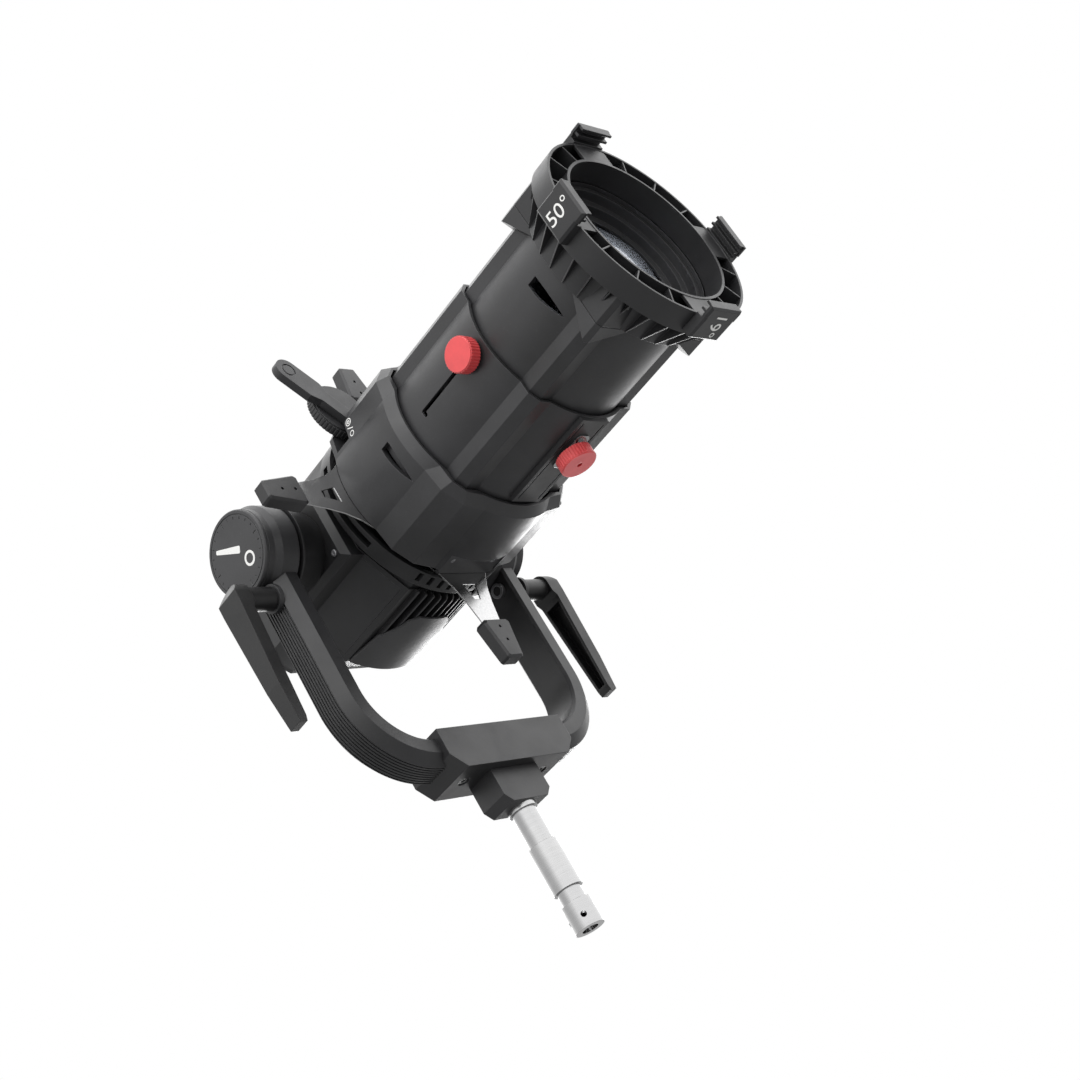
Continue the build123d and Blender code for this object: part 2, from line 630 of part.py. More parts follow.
def bulged_cover(z_sign):
    """A curved cover over the rear of the fins, its front edge drawn in towards the middle."""
    rear = LAMP_BACK_Y - 2
    high = COVER_R + 1
    shell = prism(Circle(COVER_R) - Circle(COVER_R - COVER_SHELL), rear, COVER_EDGE[0][1])
    edge = list(COVER_EDGE) + [(COVER_EDGE[-1][0], rear)]
    outline = edge + [(-x, y) for x, y in reversed(edge)]
    shell &= extrude(Plane.XY.offset(LAMP_HALF_HEIGHT) * make_face(Polyline(*outline, close=True)),
                     high - LAMP_HALF_HEIGHT)
    return shell if z_sign > 0 else mirror(shell, about=Plane.XY)


def trunnion_block():
    body = block(BLOCK_INNER_X, BLOCK_OUTER_X, -BLOCK_HALF_LENGTH, BLOCK_HALF_LENGTH, -BLOCK_HALF_HEIGHT,
                 BLOCK_HALF_HEIGHT)
    outer = body.faces().sort_by(Axis.X)[-1]
    return chamfer(outer.edges(), BLOCK_CHAMFER) - prism(lamp_outline(), LAMP_BACK_Y, LAMP_SHELL_Y)


def heat_sink():
    base_front = -34.0
    base_rear = -26.0
    sink = block(-SINK_HALF_WIDTH, SINK_HALF_WIDTH, base_front, base_rear, -SINK_HALF_HEIGHT,
                 SINK_HALF_HEIGHT)
    pitch = (2 * SINK_HALF_WIDTH - SINK_FIN_THICKNESS) / (SINK_FIN_COUNT - 1)
    for i in range(SINK_FIN_COUNT):
        x = -SINK_HALF_WIDTH + i * pitch
        sink += block(x, x + SINK_FIN_THICKNESS, base_rear, LAMP_BACK_Y - 4, -SINK_HALF_HEIGHT,
                      SINK_HALF_HEIGHT)
    reach = LAMP_SIDE_X - LAMP_WALL
    return sink + block(-reach, reach, base_front, base_front + 4, -12, 12)


def led_module():
    board = block(-24, 24, -37, -34, -24, 24)
    return board + rod_y(LED_R, 0, 0, -37, -39)


def condenser():
    glass = revolve(make_face(Polyline((0, -44), (CONDENSER_R, -44), (CONDENSER_R, -50), (26, -55.5),
                                       (12, -58.2), (0, -59), close=True)), Axis.Y)
    return glass


def condenser_seat():
    seat = tube(LAMP_APERTURE_R + 8, CONDENSER_R - 3, -40, -43.9)
    seat += tube(LAMP_APERTURE_R + 8, CONDENSER_R + 0.1, -43.9, LAMP_SHELL_Y)
    return seat + [rod_y(4, x, z, -34, -40) for x in (-44, 44) for z in (-18, 18)]


def fan_frame():
    frame = prism(Rectangle(2 * FAN_HALF_SIZE, 2 * FAN_HALF_SIZE) - Circle(FAN_BORE_R), FAN_Y + FAN_DEPTH / 2,
                  FAN_Y - FAN_DEPTH / 2)
    for turn in (0, 90):
        spoke = block(-FAN_BORE_R - 1, FAN_BORE_R + 1, FAN_Y + FAN_DEPTH / 2 - 3, FAN_Y + FAN_DEPTH / 2,
                      -2.5, 2.5)
        frame += Rot(0, turn, 0) * spoke
    frame += rod_y(FAN_HUB_R, 0, 0, FAN_Y + FAN_DEPTH / 2, FAN_Y + FAN_DEPTH / 2 - 3)
    frame += rod_y(FAN_AXLE_R, 0, 0, FAN_Y + FAN_DEPTH / 2, FAN_Y - 6)
    return frame


def fan_rotor():
    front = FAN_Y - FAN_DEPTH / 2 + 2
    rear = FAN_Y + FAN_DEPTH / 2 - 4
    middle = (front + rear) / 2
    hub = rod_y(FAN_HUB_R, 0, 0, rear, front)
    flat = block(FAN_HUB_R - 1, FAN_BLADE_R, front - middle, rear - middle, -1.0, 1.0)
    vane = Pos(0, middle, 0) * Rot(38, 0, 0) * flat
    vane &= tube(FAN_BLADE_R, FAN_HUB_R - 1, rear - 1, front + 1)
    for i in range(FAN_BLADE_COUNT):
        hub += Rot(0, 360 * i / FAN_BLADE_COUNT, 0) * vane
    return hub - rod_y(FAN_AXLE_R + FAN_AXLE_CLEARANCE, 0, 0, rear + 1, FAN_Y - 6.4)


def rear_outline(side, knee, corner, high):
    points = [(side, knee), (corner, high), (-corner, high), (-side, knee)]
    points += [(-side, -knee), (-corner, -high), (corner, -high), (side, -knee)]
    return make_face(Polyline(*points, close=True))


def rear_body():
    wide = rear_outline(LAMP_SIDE_X, LAMP_SIDE_HALF_HEIGHT, LAMP_CORNER_X, LAMP_HALF_HEIGHT)
    small = rear_outline(REAR_SIDE_X, REAR_SIDE_HALF_HEIGHT, REAR_CORNER_X, REAR_HALF_HEIGHT)
    return loft([Plane.XZ.offset(-LAMP_BACK_Y) * wide, Plane.XZ.offset(-LAMP_REAR_Y) * small])


def rear_louvres():
    half = FAN_HALF_SIZE + 0.3
    shell = rear_body() - block(-half, half, LAMP_BACK_Y - 1, LAMP_REAR_Y + 1, -half, half)
    root = FAN_HALF_SIZE + LOUVRE_ROOT
    wide = LAMP_SIDE_X + 5
    pitch = (LAMP_REAR_Y - LAMP_BACK_Y - 6) / LOUVRE_COUNT
    for i in range(LOUVRE_COUNT):
        y = LAMP_BACK_Y + 6 + i * pitch
        for z_sign in (-1, 1):
            low = min(z_sign * root, z_sign * LAMP_HALF_HEIGHT * 1.2)
            high = max(z_sign * root, z_sign * LAMP_HALF_HEIGHT * 1.2)
            shell -= block(-wide, wide, y, y + pitch - LOUVRE_THICKNESS, low, high)
    return shell


def rear_cover():
    back = LAMP_REAR_Y + REAR_COVER_THICKNESS
    face = rear_outline(REAR_SIDE_X, REAR_SIDE_HALF_HEIGHT, REAR_CORNER_X, REAR_HALF_HEIGHT)
    plate = prism(face, back, LAMP_REAR_Y)
    plate = chamfer(plate.faces().sort_by(Axis.Y)[-1].edges(), 2.0)
    for i in range(7):
        z = INLET_Z + 2 + i * 4.6
        plate -= block(-20, 40, LAMP_REAR_Y - 1, back + 1, z, z + 2.2)
    plate -= block(-50, 14, back - 1.2, back + 1, CONTROL_KNOB_Z - 12, CONTROL_KNOB_Z + 12)
    plate -= rod_y(CONTROL_STEM_R + STEM_CLEARANCE, CONTROL_KNOB_X, CONTROL_KNOB_Z, back + 1, LAMP_REAR_Y - 1)
    return plate - rod_y(INLET_R - 3, INLET_X, INLET_Z, back + 1, back - 0.8)


def control_knob():
    back = LAMP_REAR_Y + REAR_COVER_THICKNESS
    face = Pos(CONTROL_KNOB_X, CONTROL_KNOB_Z) * knurled(CONTROL_KNOB_R, 0.7, 24)
    knob = prism(face, back + 0.4 + CONTROL_KNOB_HEIGHT, back + 0.4)
    return knob + rod_y(CONTROL_STEM_R, CONTROL_KNOB_X, CONTROL_KNOB_Z, back + 1, LAMP_REAR_Y + 1)


def power_inlet():
    back = LAMP_REAR_Y + REAR_COVER_THICKNESS
    seat = INLET_R - 3.1
    socket = tube(seat, seat - 3, back + 9, back - 0.8)
    socket += rod_y(seat, 0, 0, back + 1, back - 0.8)
    socket += tube(INLET_R, seat - 1, back + 3, back)
    return Pos(INLET_X, 0, INLET_Z) * socket


# ================================================================ shutter gate
def rear_gate_y():
    return TOP_BLADE_Y + BLADE_THICKNESS / 2 + BLADE_GAP


def front_gate_y():
    return SIDE_BLADE_Y - BLADE_THICKNESS / 2 - BLADE_GAP


def gate_outline():
    half = GATE_HALF_SIZE
    cut = GATE_CORNER_CUT
    points = [(half, half - cut), (half - cut, half), (-half + cut, half), (-half, half - cut)]
    points += [(-half, -half + cut), (-half + cut, -half), (half - cut, -half), (half, -half + cut)]
    posts = [Pos(x, z) * Circle(GATE_POST_R) for x in (-GATE_POST_OFFSET, GATE_POST_OFFSET)
             for z in (-GATE_POST_OFFSET, GATE_POST_OFFSET)]
    return make_face(Polyline(*points, close=True)) - Circle(GATE_APERTURE_R) - posts


def gate_plate():
    """The rear plate of the gate with the four posts that carry the spacer and the housing."""
    rear = rear_gate_y() + GATE_PLATE_THICKNESS
    plate = prism(gate_outline(), rear, rear_gate_y())
    offset = GATE_POST_OFFSET
    for x in (-offset, offset):
        for z in (-offset, offset):
            plate += rod_y(GATE_POST_R, x, z, rear, front_gate_y())
    return plate


def gate_spacer():
    rear = TOP_BLADE_Y - BLADE_THICKNESS / 2 - BLADE_GAP
    front = SIDE_BLADE_Y + BLADE_THICKNESS / 2 + BLADE_GAP
    return prism(gate_outline(), rear, front)


def neck_ring():
    """The neck behind the gate, and round it the slotted shroud that carries on the lamp head's outline."""
    rear = rear_gate_y() + GATE_PLATE_THICKNESS
    body = tube(56.0, GATE_APERTURE_R + 6, LAMP_FRONT_Y, rear)
    body += tube(SHROUD_R - 1, 55.0, LAMP_FRONT_Y, LAMP_FRONT_Y - SHROUD_WEB)
    body += tube(SHROUD_R, SHROUD_R - SHROUD_WALL, LAMP_FRONT_Y, SHROUD_FRONT_Y)
    half = SHROUD_SLOT_WIDTH / 2
    for i in range(SHROUD_SLOTS_PER_SIDE):
        x = SHROUD_SLOT_FIRST_X + i * SHROUD_SLOT_PITCH
        for z_sign in (-1, 1):
            low, high = sorted((z_sign * 60.0, z_sign * (SHROUD_R + 1)))
            body -= pair(block(x - half, x + half, SHROUD_SLOT_FRONT_Y, SHROUD_SLOT_REAR_Y, low, high))
    window = SHROUD_WINDOW_HALF_HEIGHT
    body -= pair(block(60.0, SHROUD_R + 1, SHROUD_SLOT_FRONT_Y + 3, SHROUD_SLOT_REAR_Y - 1, -window, window))
    return body


def blade(side):
    plane_y = TOP_BLADE_Y if side in ("top", "bottom") else SIDE_BLADE_Y
    reach = GRIP_REACH[side]
    grip_start = reach - GRIP_LENGTH
    inner = grip_start + 6 - BLADE_LENGTH - 10
    root = inner + 44
    narrow = BLADE_TIP_HALF_WIDTH
    wide = BLADE_ROOT_HALF_WIDTH
    points = [(inner, wide), (root - 6, wide), (root + 6, 30.0), (root + 20, 22.5), (root + 38, 17.0),
              (grip_start - 4, narrow), (grip_start + 20, narrow - 2.5)]
    outline = points + [(s, -t) for s, t in reversed(points)]
    window = [(root + 17, 8.6), (root + 35, 3.6), (root + 35, -3.6), (root + 17, -8.6)]
    face = make_face(Polyline(*outline, close=True)) - make_face(Polyline(*window, close=True))
    sheet = prism(face, plane_y + BLADE_THICKNESS / 2, plane_y - BLADE_THICKNESS / 2)
    return Rot(0, -GRIP_ANGLE[side], 0) * sheet


def grip(side):
    plane_y = TOP_BLADE_Y if side in ("top", "bottom") else SIDE_BLADE_Y
    reach = GRIP_REACH[side]
    start = reach - GRIP_LENGTH
    wide = GRIP_WIDE_HALF
    narrow = GRIP_NARROW_HALF
    outline = Polyline((start, wide - 3), (start + 4, wide), (reach - 2, narrow), (reach, narrow - 2),
                       (reach, -narrow + 2), (reach - 2, -narrow), (start + 4, -wide), (start, -wide + 3),
                       close=True)
    rear = plane_y + GRIP_THICKNESS / 2
    front = plane_y - GRIP_THICKNESS / 2
    body = prism(make_face(outline), rear, front)
    body = chamfer(body.faces().sort_by(Axis.Y)[0].edges(), 2.0)
    body -= block(start - 1, start + 20.2, plane_y - BLADE_THICKNESS / 2, plane_y + BLADE_THICKNESS / 2,
                  -BLADE_TIP_HALF_WIDTH - 0.2, BLADE_TIP_HALF_WIDTH + 0.2)
    for s in (start + 9, start + 24):
        body -= rod_y(GRIP_HOLE_R, s, 0, front + 2.5, front - 1)
    return Rot(0, -GRIP_ANGLE[side], 0) * body


# ================================================================ gate housing
def housing_section():
    return barrel_section(HOUSING_SIDE_R, HOUSING_CORNER_R, HOUSING_FLAT_DEG, HOUSING_SHOULDER_DEG)


def scoop(side_r, bore_r, middle_y, x_sign):
    """A crescent slot through a side wall, widest at mid height and running out to a point below."""
    half = SCOOP_WIDTH / 2
    wide_end = Line((half, 2.0), (-half, 2.0))
    front_edge = ThreePointArc((-half, 2.0), (-half + 0.6, -SCOOP_LENGTH * 0.5), (0, -SCOOP_LENGTH))
    rear_edge = ThreePointArc((0, -SCOOP_LENGTH), (half - 0.8, -SCOOP_LENGTH * 0.5), (half, 2.0))
    outline = Pos(middle_y, 0) * make_face([wide_end, front_edge, rear_edge])
    solid = extrude(Plane.YZ.offset(bore_r - 12) * outline, side_r - bore_r + 17)
    return solid if x_sign > 0 else mirrored(solid)


def slot_sector(outer_r, rear_y, front_y):
    fan = [(0, 0)]
    fan += [polar(outer_r, SLOT_FROM_DEG + (SLOT_TO_DEG - SLOT_FROM_DEG) * i / 8) for i in range(9)]
    return prism(make_face(Polyline(*fan, close=True)) - Circle(CORE_R + 1), rear_y, front_y)


def gate_housing():
    rear = front_gate_y()
    wall = rear - HOUSING_REAR_WALL
    bevel_y = HOUSING_FRONT_Y + HOUSING_BEVEL
    body = prism(housing_section(), rear, bevel_y)
    grow = MOUTH_GAP + 2.6
    lip = barrel_section(SLEEVE_SIDE_R + grow, SLEEVE_CORNER_R + grow, SLEEVE_FLAT_DEG + 1.0,
                         SLEEVE_SHOULDER_DEG + 4.0)
    edge = Plane.XZ.offset(-bevel_y) * housing_section()
    body += loft([edge, Plane.XZ.offset(-HOUSING_FRONT_Y) * lip])
    body -= prism(Circle(HOUSING_BORE_R), wall, bevel_y + 4)
    body -= prism(sleeve_section(MOUTH_GAP), wall - 30, HOUSING_FRONT_Y - 1)
    body -= prism(Circle(GATE_APERTURE_R + 2), rear + 1, wall - 1)
    body -= block(-COVER_FLAT_HALF_WIDTH, COVER_FLAT_HALF_WIDTH, COVER_FLAT_Y, rear + 1,
                  -2 * COVER_FLAT_Z, -COVER_FLAT_Z)
    body -= block(-TOP_FLAT_HALF_WIDTH, TOP_FLAT_HALF_WIDTH, COVER_FLAT_Y, rear + 1, COVER_FLAT_Z,
                  2 * COVER_FLAT_Z)
    for x_sign in (-1, 1):
        body -= scoop(HOUSING_SIDE_R, HOUSING_BORE_R, SCOOP_Y_HOUSING, x_sign)
    return body - slot_sector(140, WHEEL_FRONT_Y + WHEEL_THICKNESS + 1.0, IRIS_FRONT_Y - 1.0)


def gate_core():
    rear = front_gate_y() - HOUSING_REAR_WALL
    front = IRIS_FRONT_Y - 1.5
    core = tube(CORE_R, CORE_R - CORE_WALL, rear, front)
    core += tube(CORE_R + 4, CORE_R - CORE_WALL, front, front - 3)
    return core + tube(CORE_R - CORE_WALL, IRIS_APERTURE_R, front - 1, front - 3)


def gate_cover(half_width):
    """The plate over one blade slot, screwed on the flat of the housing. Drawn on top."""
    rear = TOP_BLADE_Y - BLADE_THICKNESS / 2 - BLADE_GAP
    half = half_width - BLADE_GAP
    top = COVER_FLAT_Z + COVER_PLATE_THICKNESS
    front = COVER_FLAT_Y + BLADE_GAP
    plate = block(-half, half, front, rear, COVER_FLAT_Z, top)
    for x in (-half + COVER_SCREW_INSET, half - COVER_SCREW_INSET):
        plate -= rod_z(COVER_SCREW_R, x, front + COVER_SCREW_INSET, top - 1.5, top + 1)
    return plate


def wheel_carrier():
    x, z = polar(WHEEL_CENTRE_R, WHEEL_ANGLE)
    rear = front_gate_y()
    front = rear - HOUSING_REAR_WALL
    arm = Polyline(polar(90, WHEEL_ANGLE - 9), polar(WHEEL_CENTRE_R, WHEEL_ANGLE - 5),
                   polar(WHEEL_CENTRE_R, WHEEL_ANGLE + 5), polar(90, WHEEL_ANGLE + 9), close=True)
    lug = prism(make_face(arm), rear, front) + rod_y(11, x, z, rear, front)
    lug -= prism(housing_section(), rear + 1, front - 1)
    return lug + rod_y(WHEEL_AXLE_R, x, z, rear, WHEEL_FRONT_Y + 1.5)


def gobo_wheel():
    x, z = polar(WHEEL_CENTRE_R, WHEEL_ANGLE)
    rear = WHEEL_FRONT_Y + WHEEL_THICKNESS
    wheel = prism(Pos(x, z) * knurled(WHEEL_R, 0.9, WHEEL_KNURLS), rear, WHEEL_FRONT_Y + 1.5)
    wheel += rod_y(WHEEL_R - 1.5, x, z, WHEEL_FRONT_Y + 1.5, WHEEL_FRONT_Y)
    return wheel - rod_y(WHEEL_AXLE_R + RING_CLEARANCE, x, z, rear + 1, WHEEL_FRONT_Y + 1.2)


def gobo_ring():
    outer = WHEEL_CENTRE_R - WHEEL_R - MESH_GAP
    rear = WHEEL_FRONT_Y + WHEEL_THICKNESS
    ring = tube(outer, CORE_R + RING_CLEARANCE, rear, WHEEL_FRONT_Y)
    for i in range(6):
        ring -= rod_y(3.0, *polar(70, 60 * i), rear + 1, WHEEL_FRONT_Y - 1)
    return ring


def iris_lever():
    rear = IRIS_FRONT_Y + IRIS_THICKNESS
    ring = Circle(IRIS_RING_R) - Circle(CORE_R + RING_CLEARANCE)
    root = IRIS_RING_R - 3
    paddle = Pos((IRIS_PADDLE_R + IRIS_TIP_R) / 2, 0) * Rectangle(IRIS_TIP_R - IRIS_PADDLE_R,
                                                                  2 * IRIS_PADDLE_HALF_WIDTH)
    paddle += Pos(IRIS_TIP_R, 0) * Circle(IRIS_PADDLE_HALF_WIDTH)
    taper = Polyline((root, IRIS_STEM_HALF_WIDTH), (IRIS_PADDLE_R - 12, IRIS_STEM_HALF_WIDTH),
                     (IRIS_PADDLE_R, IRIS_PADDLE_HALF_WIDTH), (IRIS_PADDLE_R, -IRIS_PADDLE_HALF_WIDTH),
                     (IRIS_PADDLE_R - 12, -IRIS_STEM_HALF_WIDTH), (root, -IRIS_STEM_HALF_WIDTH), close=True)
    turn = Rot(0, 0, IRIS_ANGLE)
    body = prism(ring + turn * (paddle + make_face(taper)), rear, IRIS_FRONT_Y)
    mark = turn * Pos(IRIS_TIP_R - 1, 0) * (Circle(7.5) - Circle(5.8))
    return body - prism(mark, IRIS_FRONT_Y + 0.8, IRIS_FRONT_Y - 1)


# ================================================================ middle sleeve and knobs
def sleeve_section(grow=0.0):
    return barrel_section(SLEEVE_SIDE_R + grow, SLEEVE_CORNER_R + grow, SLEEVE_FLAT_DEG, SLEEVE_SHOULDER_DEG)


def tube_section(grow=0.0):
    return barrel_section(TUBE_SIDE_R + grow, TUBE_CORNER_R + grow, SLEEVE_FLAT_DEG, SLEEVE_SHOULDER_DEG)


def middle_sleeve():
    stop = SLEEVE_REAR_Y - SLEEVE_FLANGE_LENGTH
    body = prism(sleeve_section(), stop, SLEEVE_FRONT_Y)
    body += prism(Circle(HOUSING_BORE_R), SLEEVE_REAR_Y, stop)
    body += block(-7, 7, SLEEVE_TAB_Y - 5, SLEEVE_TAB_Y + 5, SLEEVE_SIDE_R - 2, SLEEVE_TAB_TOP)
    body -= prism(sleeve_section(-SLEEVE_WALL), stop, SLEEVE_FRONT_Y - 1)
    body -= prism(Circle(TUBE_SIDE_R - 2), SLEEVE_REAR_Y + 1, SLEEVE_FRONT_Y)
    return body - knob_slot() - belly_stem_hole()


def knob_slot():
    """The slot that the side knob's stem runs in, with a short hook at its rear end."""
    half = KNOB_SLOT_WIDTH / 2
    outside = -SLEEVE_SIDE_R - 10
    inside = -SLEEVE_SIDE_R + 10
    rear = KNOB_SLOT_REAR_Y - half
    slot = block(outside, inside, KNOB_SLOT_FRONT_Y + half, rear, -half, half)
    slot += block(outside, inside, rear - half, rear + half, -KNOB_SLOT_HOOK, 0)
    for y, z in ((KNOB_SLOT_FRONT_Y + half, 0), (rear, 0), (rear, -KNOB_SLOT_HOOK)):
        slot += disc_x(half, outside, inside, y, z)
    return slot


def belly_stem_hole():
    return rod_z(BELLY_KNOB_STEM_R + STEM_CLEARANCE, 0, BELLY_KNOB_Y, -2 * SLEEVE_SIDE_R, -TUBE_SIDE_R)


def glide_rings():
    """Two bearing rings between the sleeve and the front tube."""
    section = sleeve_section(-SLEEVE_WALL) - tube_section(TUBE_SLIDE_GAP)
    half = GLIDE_RING_WIDTH / 2
    return [prism(section, y + half, y - half) - belly_stem_hole() - knob_slot() for y in GLIDE_RING_Y]


def rail_plate():
    half = RAIL_HALF_WIDTH
    face = -RAIL_FACE_Z
    plate = block(-half, half, RAIL_FRONT_Y, RAIL_REAR_Y, face, face + 8)
    plate -= prism(sleeve_section(), RAIL_REAR_Y + 1, RAIL_FRONT_Y - 1)
    for x_sign in (-1, 1):
        groove = block(half - 5.5, half - 4, RAIL_FRONT_Y + 4, RAIL_REAR_Y - 4, face - 1, face + 0.8)
        plate -= groove if x_sign > 0 else mirrored(groove)
    return plate - belly_stem_hole()


def lock_plate():
    face = -RAIL_FACE_Z
    low = face - LOCK_PLATE_THICKNESS
    plate = block(-LOCK_PLATE_HALF_WIDTH, LOCK_PLATE_HALF_WIDTH, BELLY_KNOB_Y - LOCK_PLATE_HALF_LENGTH,
                  BELLY_KNOB_Y + LOCK_PLATE_HALF_LENGTH, low, face)
    plate = chamfer(plate.edges().filter_by(Axis.Z), 3.0)
    for y in (BELLY_KNOB_Y - LOCK_SCREW_OFFSET, BELLY_KNOB_Y + LOCK_SCREW_OFFSET):
        plate += rod_z(LOCK_SCREW_R, 0, y, low - 1.8, low)
        plate -= block(-LOCK_SCREW_R, LOCK_SCREW_R, y - 0.5, y + 0.5, low - 2, low - 1.0)
    return plate - belly_stem_hole()


def side_knob():
    face = knurled(SIDE_KNOB_R, KNURL_DEPTH, KNOB_KNURLS)
    head = extrude(Plane.YZ.offset(-SIDE_KNOB_FACE_X + 1) * Pos(SIDE_KNOB_Y, 0) * face,
                   SIDE_KNOB_FACE_X - SIDE_KNOB_BASE_X - 1)
    head += disc_x(SIDE_KNOB_R - 1, -SIDE_KNOB_FACE_X, -SIDE_KNOB_FACE_X + 1, SIDE_KNOB_Y, 0)
    return head + disc_x(SIDE_KNOB_STEM_R, -SIDE_KNOB_BASE_X - 1, -SIDE_KNOB_STEM_END_X, SIDE_KNOB_Y, 0)


def belly_knob():
    face = knurled(BELLY_KNOB_R, KNURL_DEPTH, KNOB_KNURLS)
    head = extrude(Plane.XY.offset(-BELLY_KNOB_FACE_Z + 1) * Pos(0, BELLY_KNOB_Y) * face,
                   BELLY_KNOB_FACE_Z - BELLY_KNOB_BASE_Z - 1)
    head += rod_z(BELLY_KNOB_R - 1, 0, BELLY_KNOB_Y, -BELLY_KNOB_FACE_Z, -BELLY_KNOB_FACE_Z + 1)
    head += rod_z(BELLY_KNOB_STEM_R, 0, BELLY_KNOB_Y, -BELLY_KNOB_BASE_Z - 1, -TUBE_SIDE_R - 0.6)
    return head - rod_z(BELLY_KNOB_HOLE_R, 0, BELLY_KNOB_Y, -BELLY_KNOB_FACE_Z - 1, -BELLY_KNOB_BASE_Z - 3)


# ================================================================ front tube and optics
def front_tube():
    body = prism(tube_section(), TUBE_REAR_Y, TUBE_FRONT_Y)
    body += corner_ridges(RIDGE_REAR_Y, FLANGE_REAR_Y + FLANGE_JOINT)
    body -= rod_y(TUBE_BORE_R, 0, 0, TUBE_REAR_Y + 1, TUBE_FRONT_Y - 1)
    for x_sign in (-1, 1):
        body -= scoop(TUBE_SIDE_R, TUBE_BORE_R, SCOOP_Y_TUBE, x_sign)
    stem_r = SIDE_KNOB_STEM_R + STEM_CLEARANCE
    return body - disc_x(stem_r, -TUBE_SIDE_R - 5, -TUBE_BORE_R + 5, SIDE_KNOB_Y, 0)


def corner_ridges(rear_y, front_y):
    """The faceted ridge over each corner of the tube; its rear edge is drawn out to a V."""
    section = barrel_section(TUBE_SIDE_R, RIDGE_CORNER_R, RIDGE_FLAT_DEG, RIDGE_SHOULDER_DEG)
    half = RIDGE_HALF_WIDTH
    outline = Polyline((RIDGE_REAR_Y, 0), (RIDGE_FULL_Y, half), (FLANGE_FRONT_Y, half),
                       (FLANGE_FRONT_Y, -half), (RIDGE_FULL_Y, -half), close=True)
    wedge = extrude(Plane.YZ.offset(TUBE_SIDE_R - 12) * make_face(outline), 40)
    ridges = prism(section, rear_y, front_y)
    return [ridges & (Rot(0, 45 + 90 * quarter, 0) * wedge) for quarter in range(4)]


def front_flange():
    profile = Polyline((TUBE_BORE_R, FLANGE_REAR_Y), (FLANGE_REAR_R, FLANGE_REAR_Y),
                       (FLANGE_FRONT_R, FLANGE_FRONT_Y), (HOOD_R + HOOD_WALL - 4, FLANGE_FRONT_Y), close=True)
    solid_cone = Polyline((0, FLANGE_REAR_Y), (TUBE_BORE_R, FLANGE_REAR_Y),
                          (HOOD_R + HOOD_WALL - 4, FLANGE_FRONT_Y), (0, FLANGE_FRONT_Y), close=True)
    body = revolve(make_face(profile), Axis.Y)
    rib_profile = Polyline((FLANGE_REAR_R - 2, FLANGE_REAR_Y), (FLANGE_REAR_R + 1, FLANGE_REAR_Y),
                           (FLANGE_RIB_R, FLANGE_FRONT_Y + 1), (FLANGE_RIB_R, FLANGE_FRONT_Y),
                           (FLANGE_REAR_R - 2, FLANGE_FRONT_Y), close=True)
    rib = extrude(make_face(rib_profile), FLANGE_RIB_THICKNESS / 2, both=True)
    for i in range(FLANGE_RIB_COUNT):
        body += Rot(0, 360 * (i + 0.5) / FLANGE_RIB_COUNT, 0) * rib
    body += corner_ridges(FLANGE_REAR_Y, FLANGE_FRONT_Y)
    body -= revolve(make_face(solid_cone), Axis.Y)
    return body - prism(tube_section(), RIDGE_REAR_Y, TUBE_FRONT_Y)


def accessory_ring():
    band = tube(RING_R, RING_R - RING_WALL, FLANGE_FRONT_Y, RING_FRONT_Y)
    web = tube(RING_R - RING_WALL, HOOD_R + HOOD_WALL, FLANGE_FRONT_Y, FLANGE_FRONT_Y - 3)
    body = band + web
    deep = RING_R - HOOD_R - HOOD_WALL - 0.5
    for quarter in range(4):
        for i in range(RING_RIBS_PER_QUARTER):
            turn = 90 * quarter + 45 + (i - 1) * 21
            rib = block(HOOD_R + HOOD_WALL, HOOD_R + HOOD_WALL + deep, RING_FRONT_Y + 0.5, FLANGE_FRONT_Y,
                        -0.7, 0.7)
            body += Rot(0, turn, 0) * rib
        pad = block(HOOD_R, RING_R, RING_FRONT_Y + 0.5, RING_FRONT_Y + 3, -CLIP_HALF_WIDTH, CLIP_HALF_WIDTH)
        pad &= tube(RING_R - 1, HOOD_R + HOOD_WALL, RING_FRONT_Y + 3, RING_FRONT_Y + 0.5)
        body += Rot(0, 90 * quarter, 0) * pad
    return body - prism(Circle(HOOD_R + HOOD_WALL), FLANGE_FRONT_Y + 1, RING_FRONT_Y - 1)


def hood_points():
    outer = HOOD_R + HOOD_WALL
    cone = HOOD_R + HOOD_WALL - 4
    points = [(outer, RING_FRONT_Y), (HOOD_R, RING_FRONT_Y), (HOOD_R, STEP_Y[0])]
    points += [(STEP_R[0], STEP_Y[0]), (STEP_R[0] - 1, STEP_Y[1]), (STEP_R[1], STEP_Y[1])]
    points += [(STEP_R[1] - 1, STEP_Y[2]), (STEP_R[2], STEP_Y[2]), (STEP_R[2], STEP_Y[2] + 2.4)]
    points += [(LENS_R, STEP_Y[2] + 2.4), (LENS_R, LENS_SEAT_Y), (TUBE_BORE_R - 0.1, LENS_SEAT_Y)]
    return points + [(cone - 0.1, FLANGE_FRONT_Y), (outer, FLANGE_FRONT_Y)]


def lens_hood():
    return revolve(make_face(Polyline(*hood_points(), close=True)), Axis.Y)


def front_lens():
    """A plano-convex lens, its dome towards the front."""
    clear_r = STEP_R[2] - 0.5
    edge = rod_y(LENS_R, 0, 0, LENS_SEAT_Y, LENS_SEAT_Y - LENS_EDGE_THICKNESS)
    ball_r = (clear_r ** 2 + LENS_BULGE ** 2) / (2 * LENS_BULGE)
    front_face = LENS_SEAT_Y - LENS_EDGE_THICKNESS
    ball = Pos(0, front_face - LENS_BULGE + ball_r, 0) * Sphere(ball_r)
    dome = ball & rod_y(clear_r, 0, 0, front_face, front_face - 2 * LENS_BULGE)
    return edge + dome


def lens_retainer():
    return tube(TUBE_BORE_R - 0.1, LENS_R - RETAINER_WIDTH, LENS_SEAT_Y + 5, LENS_SEAT_Y)


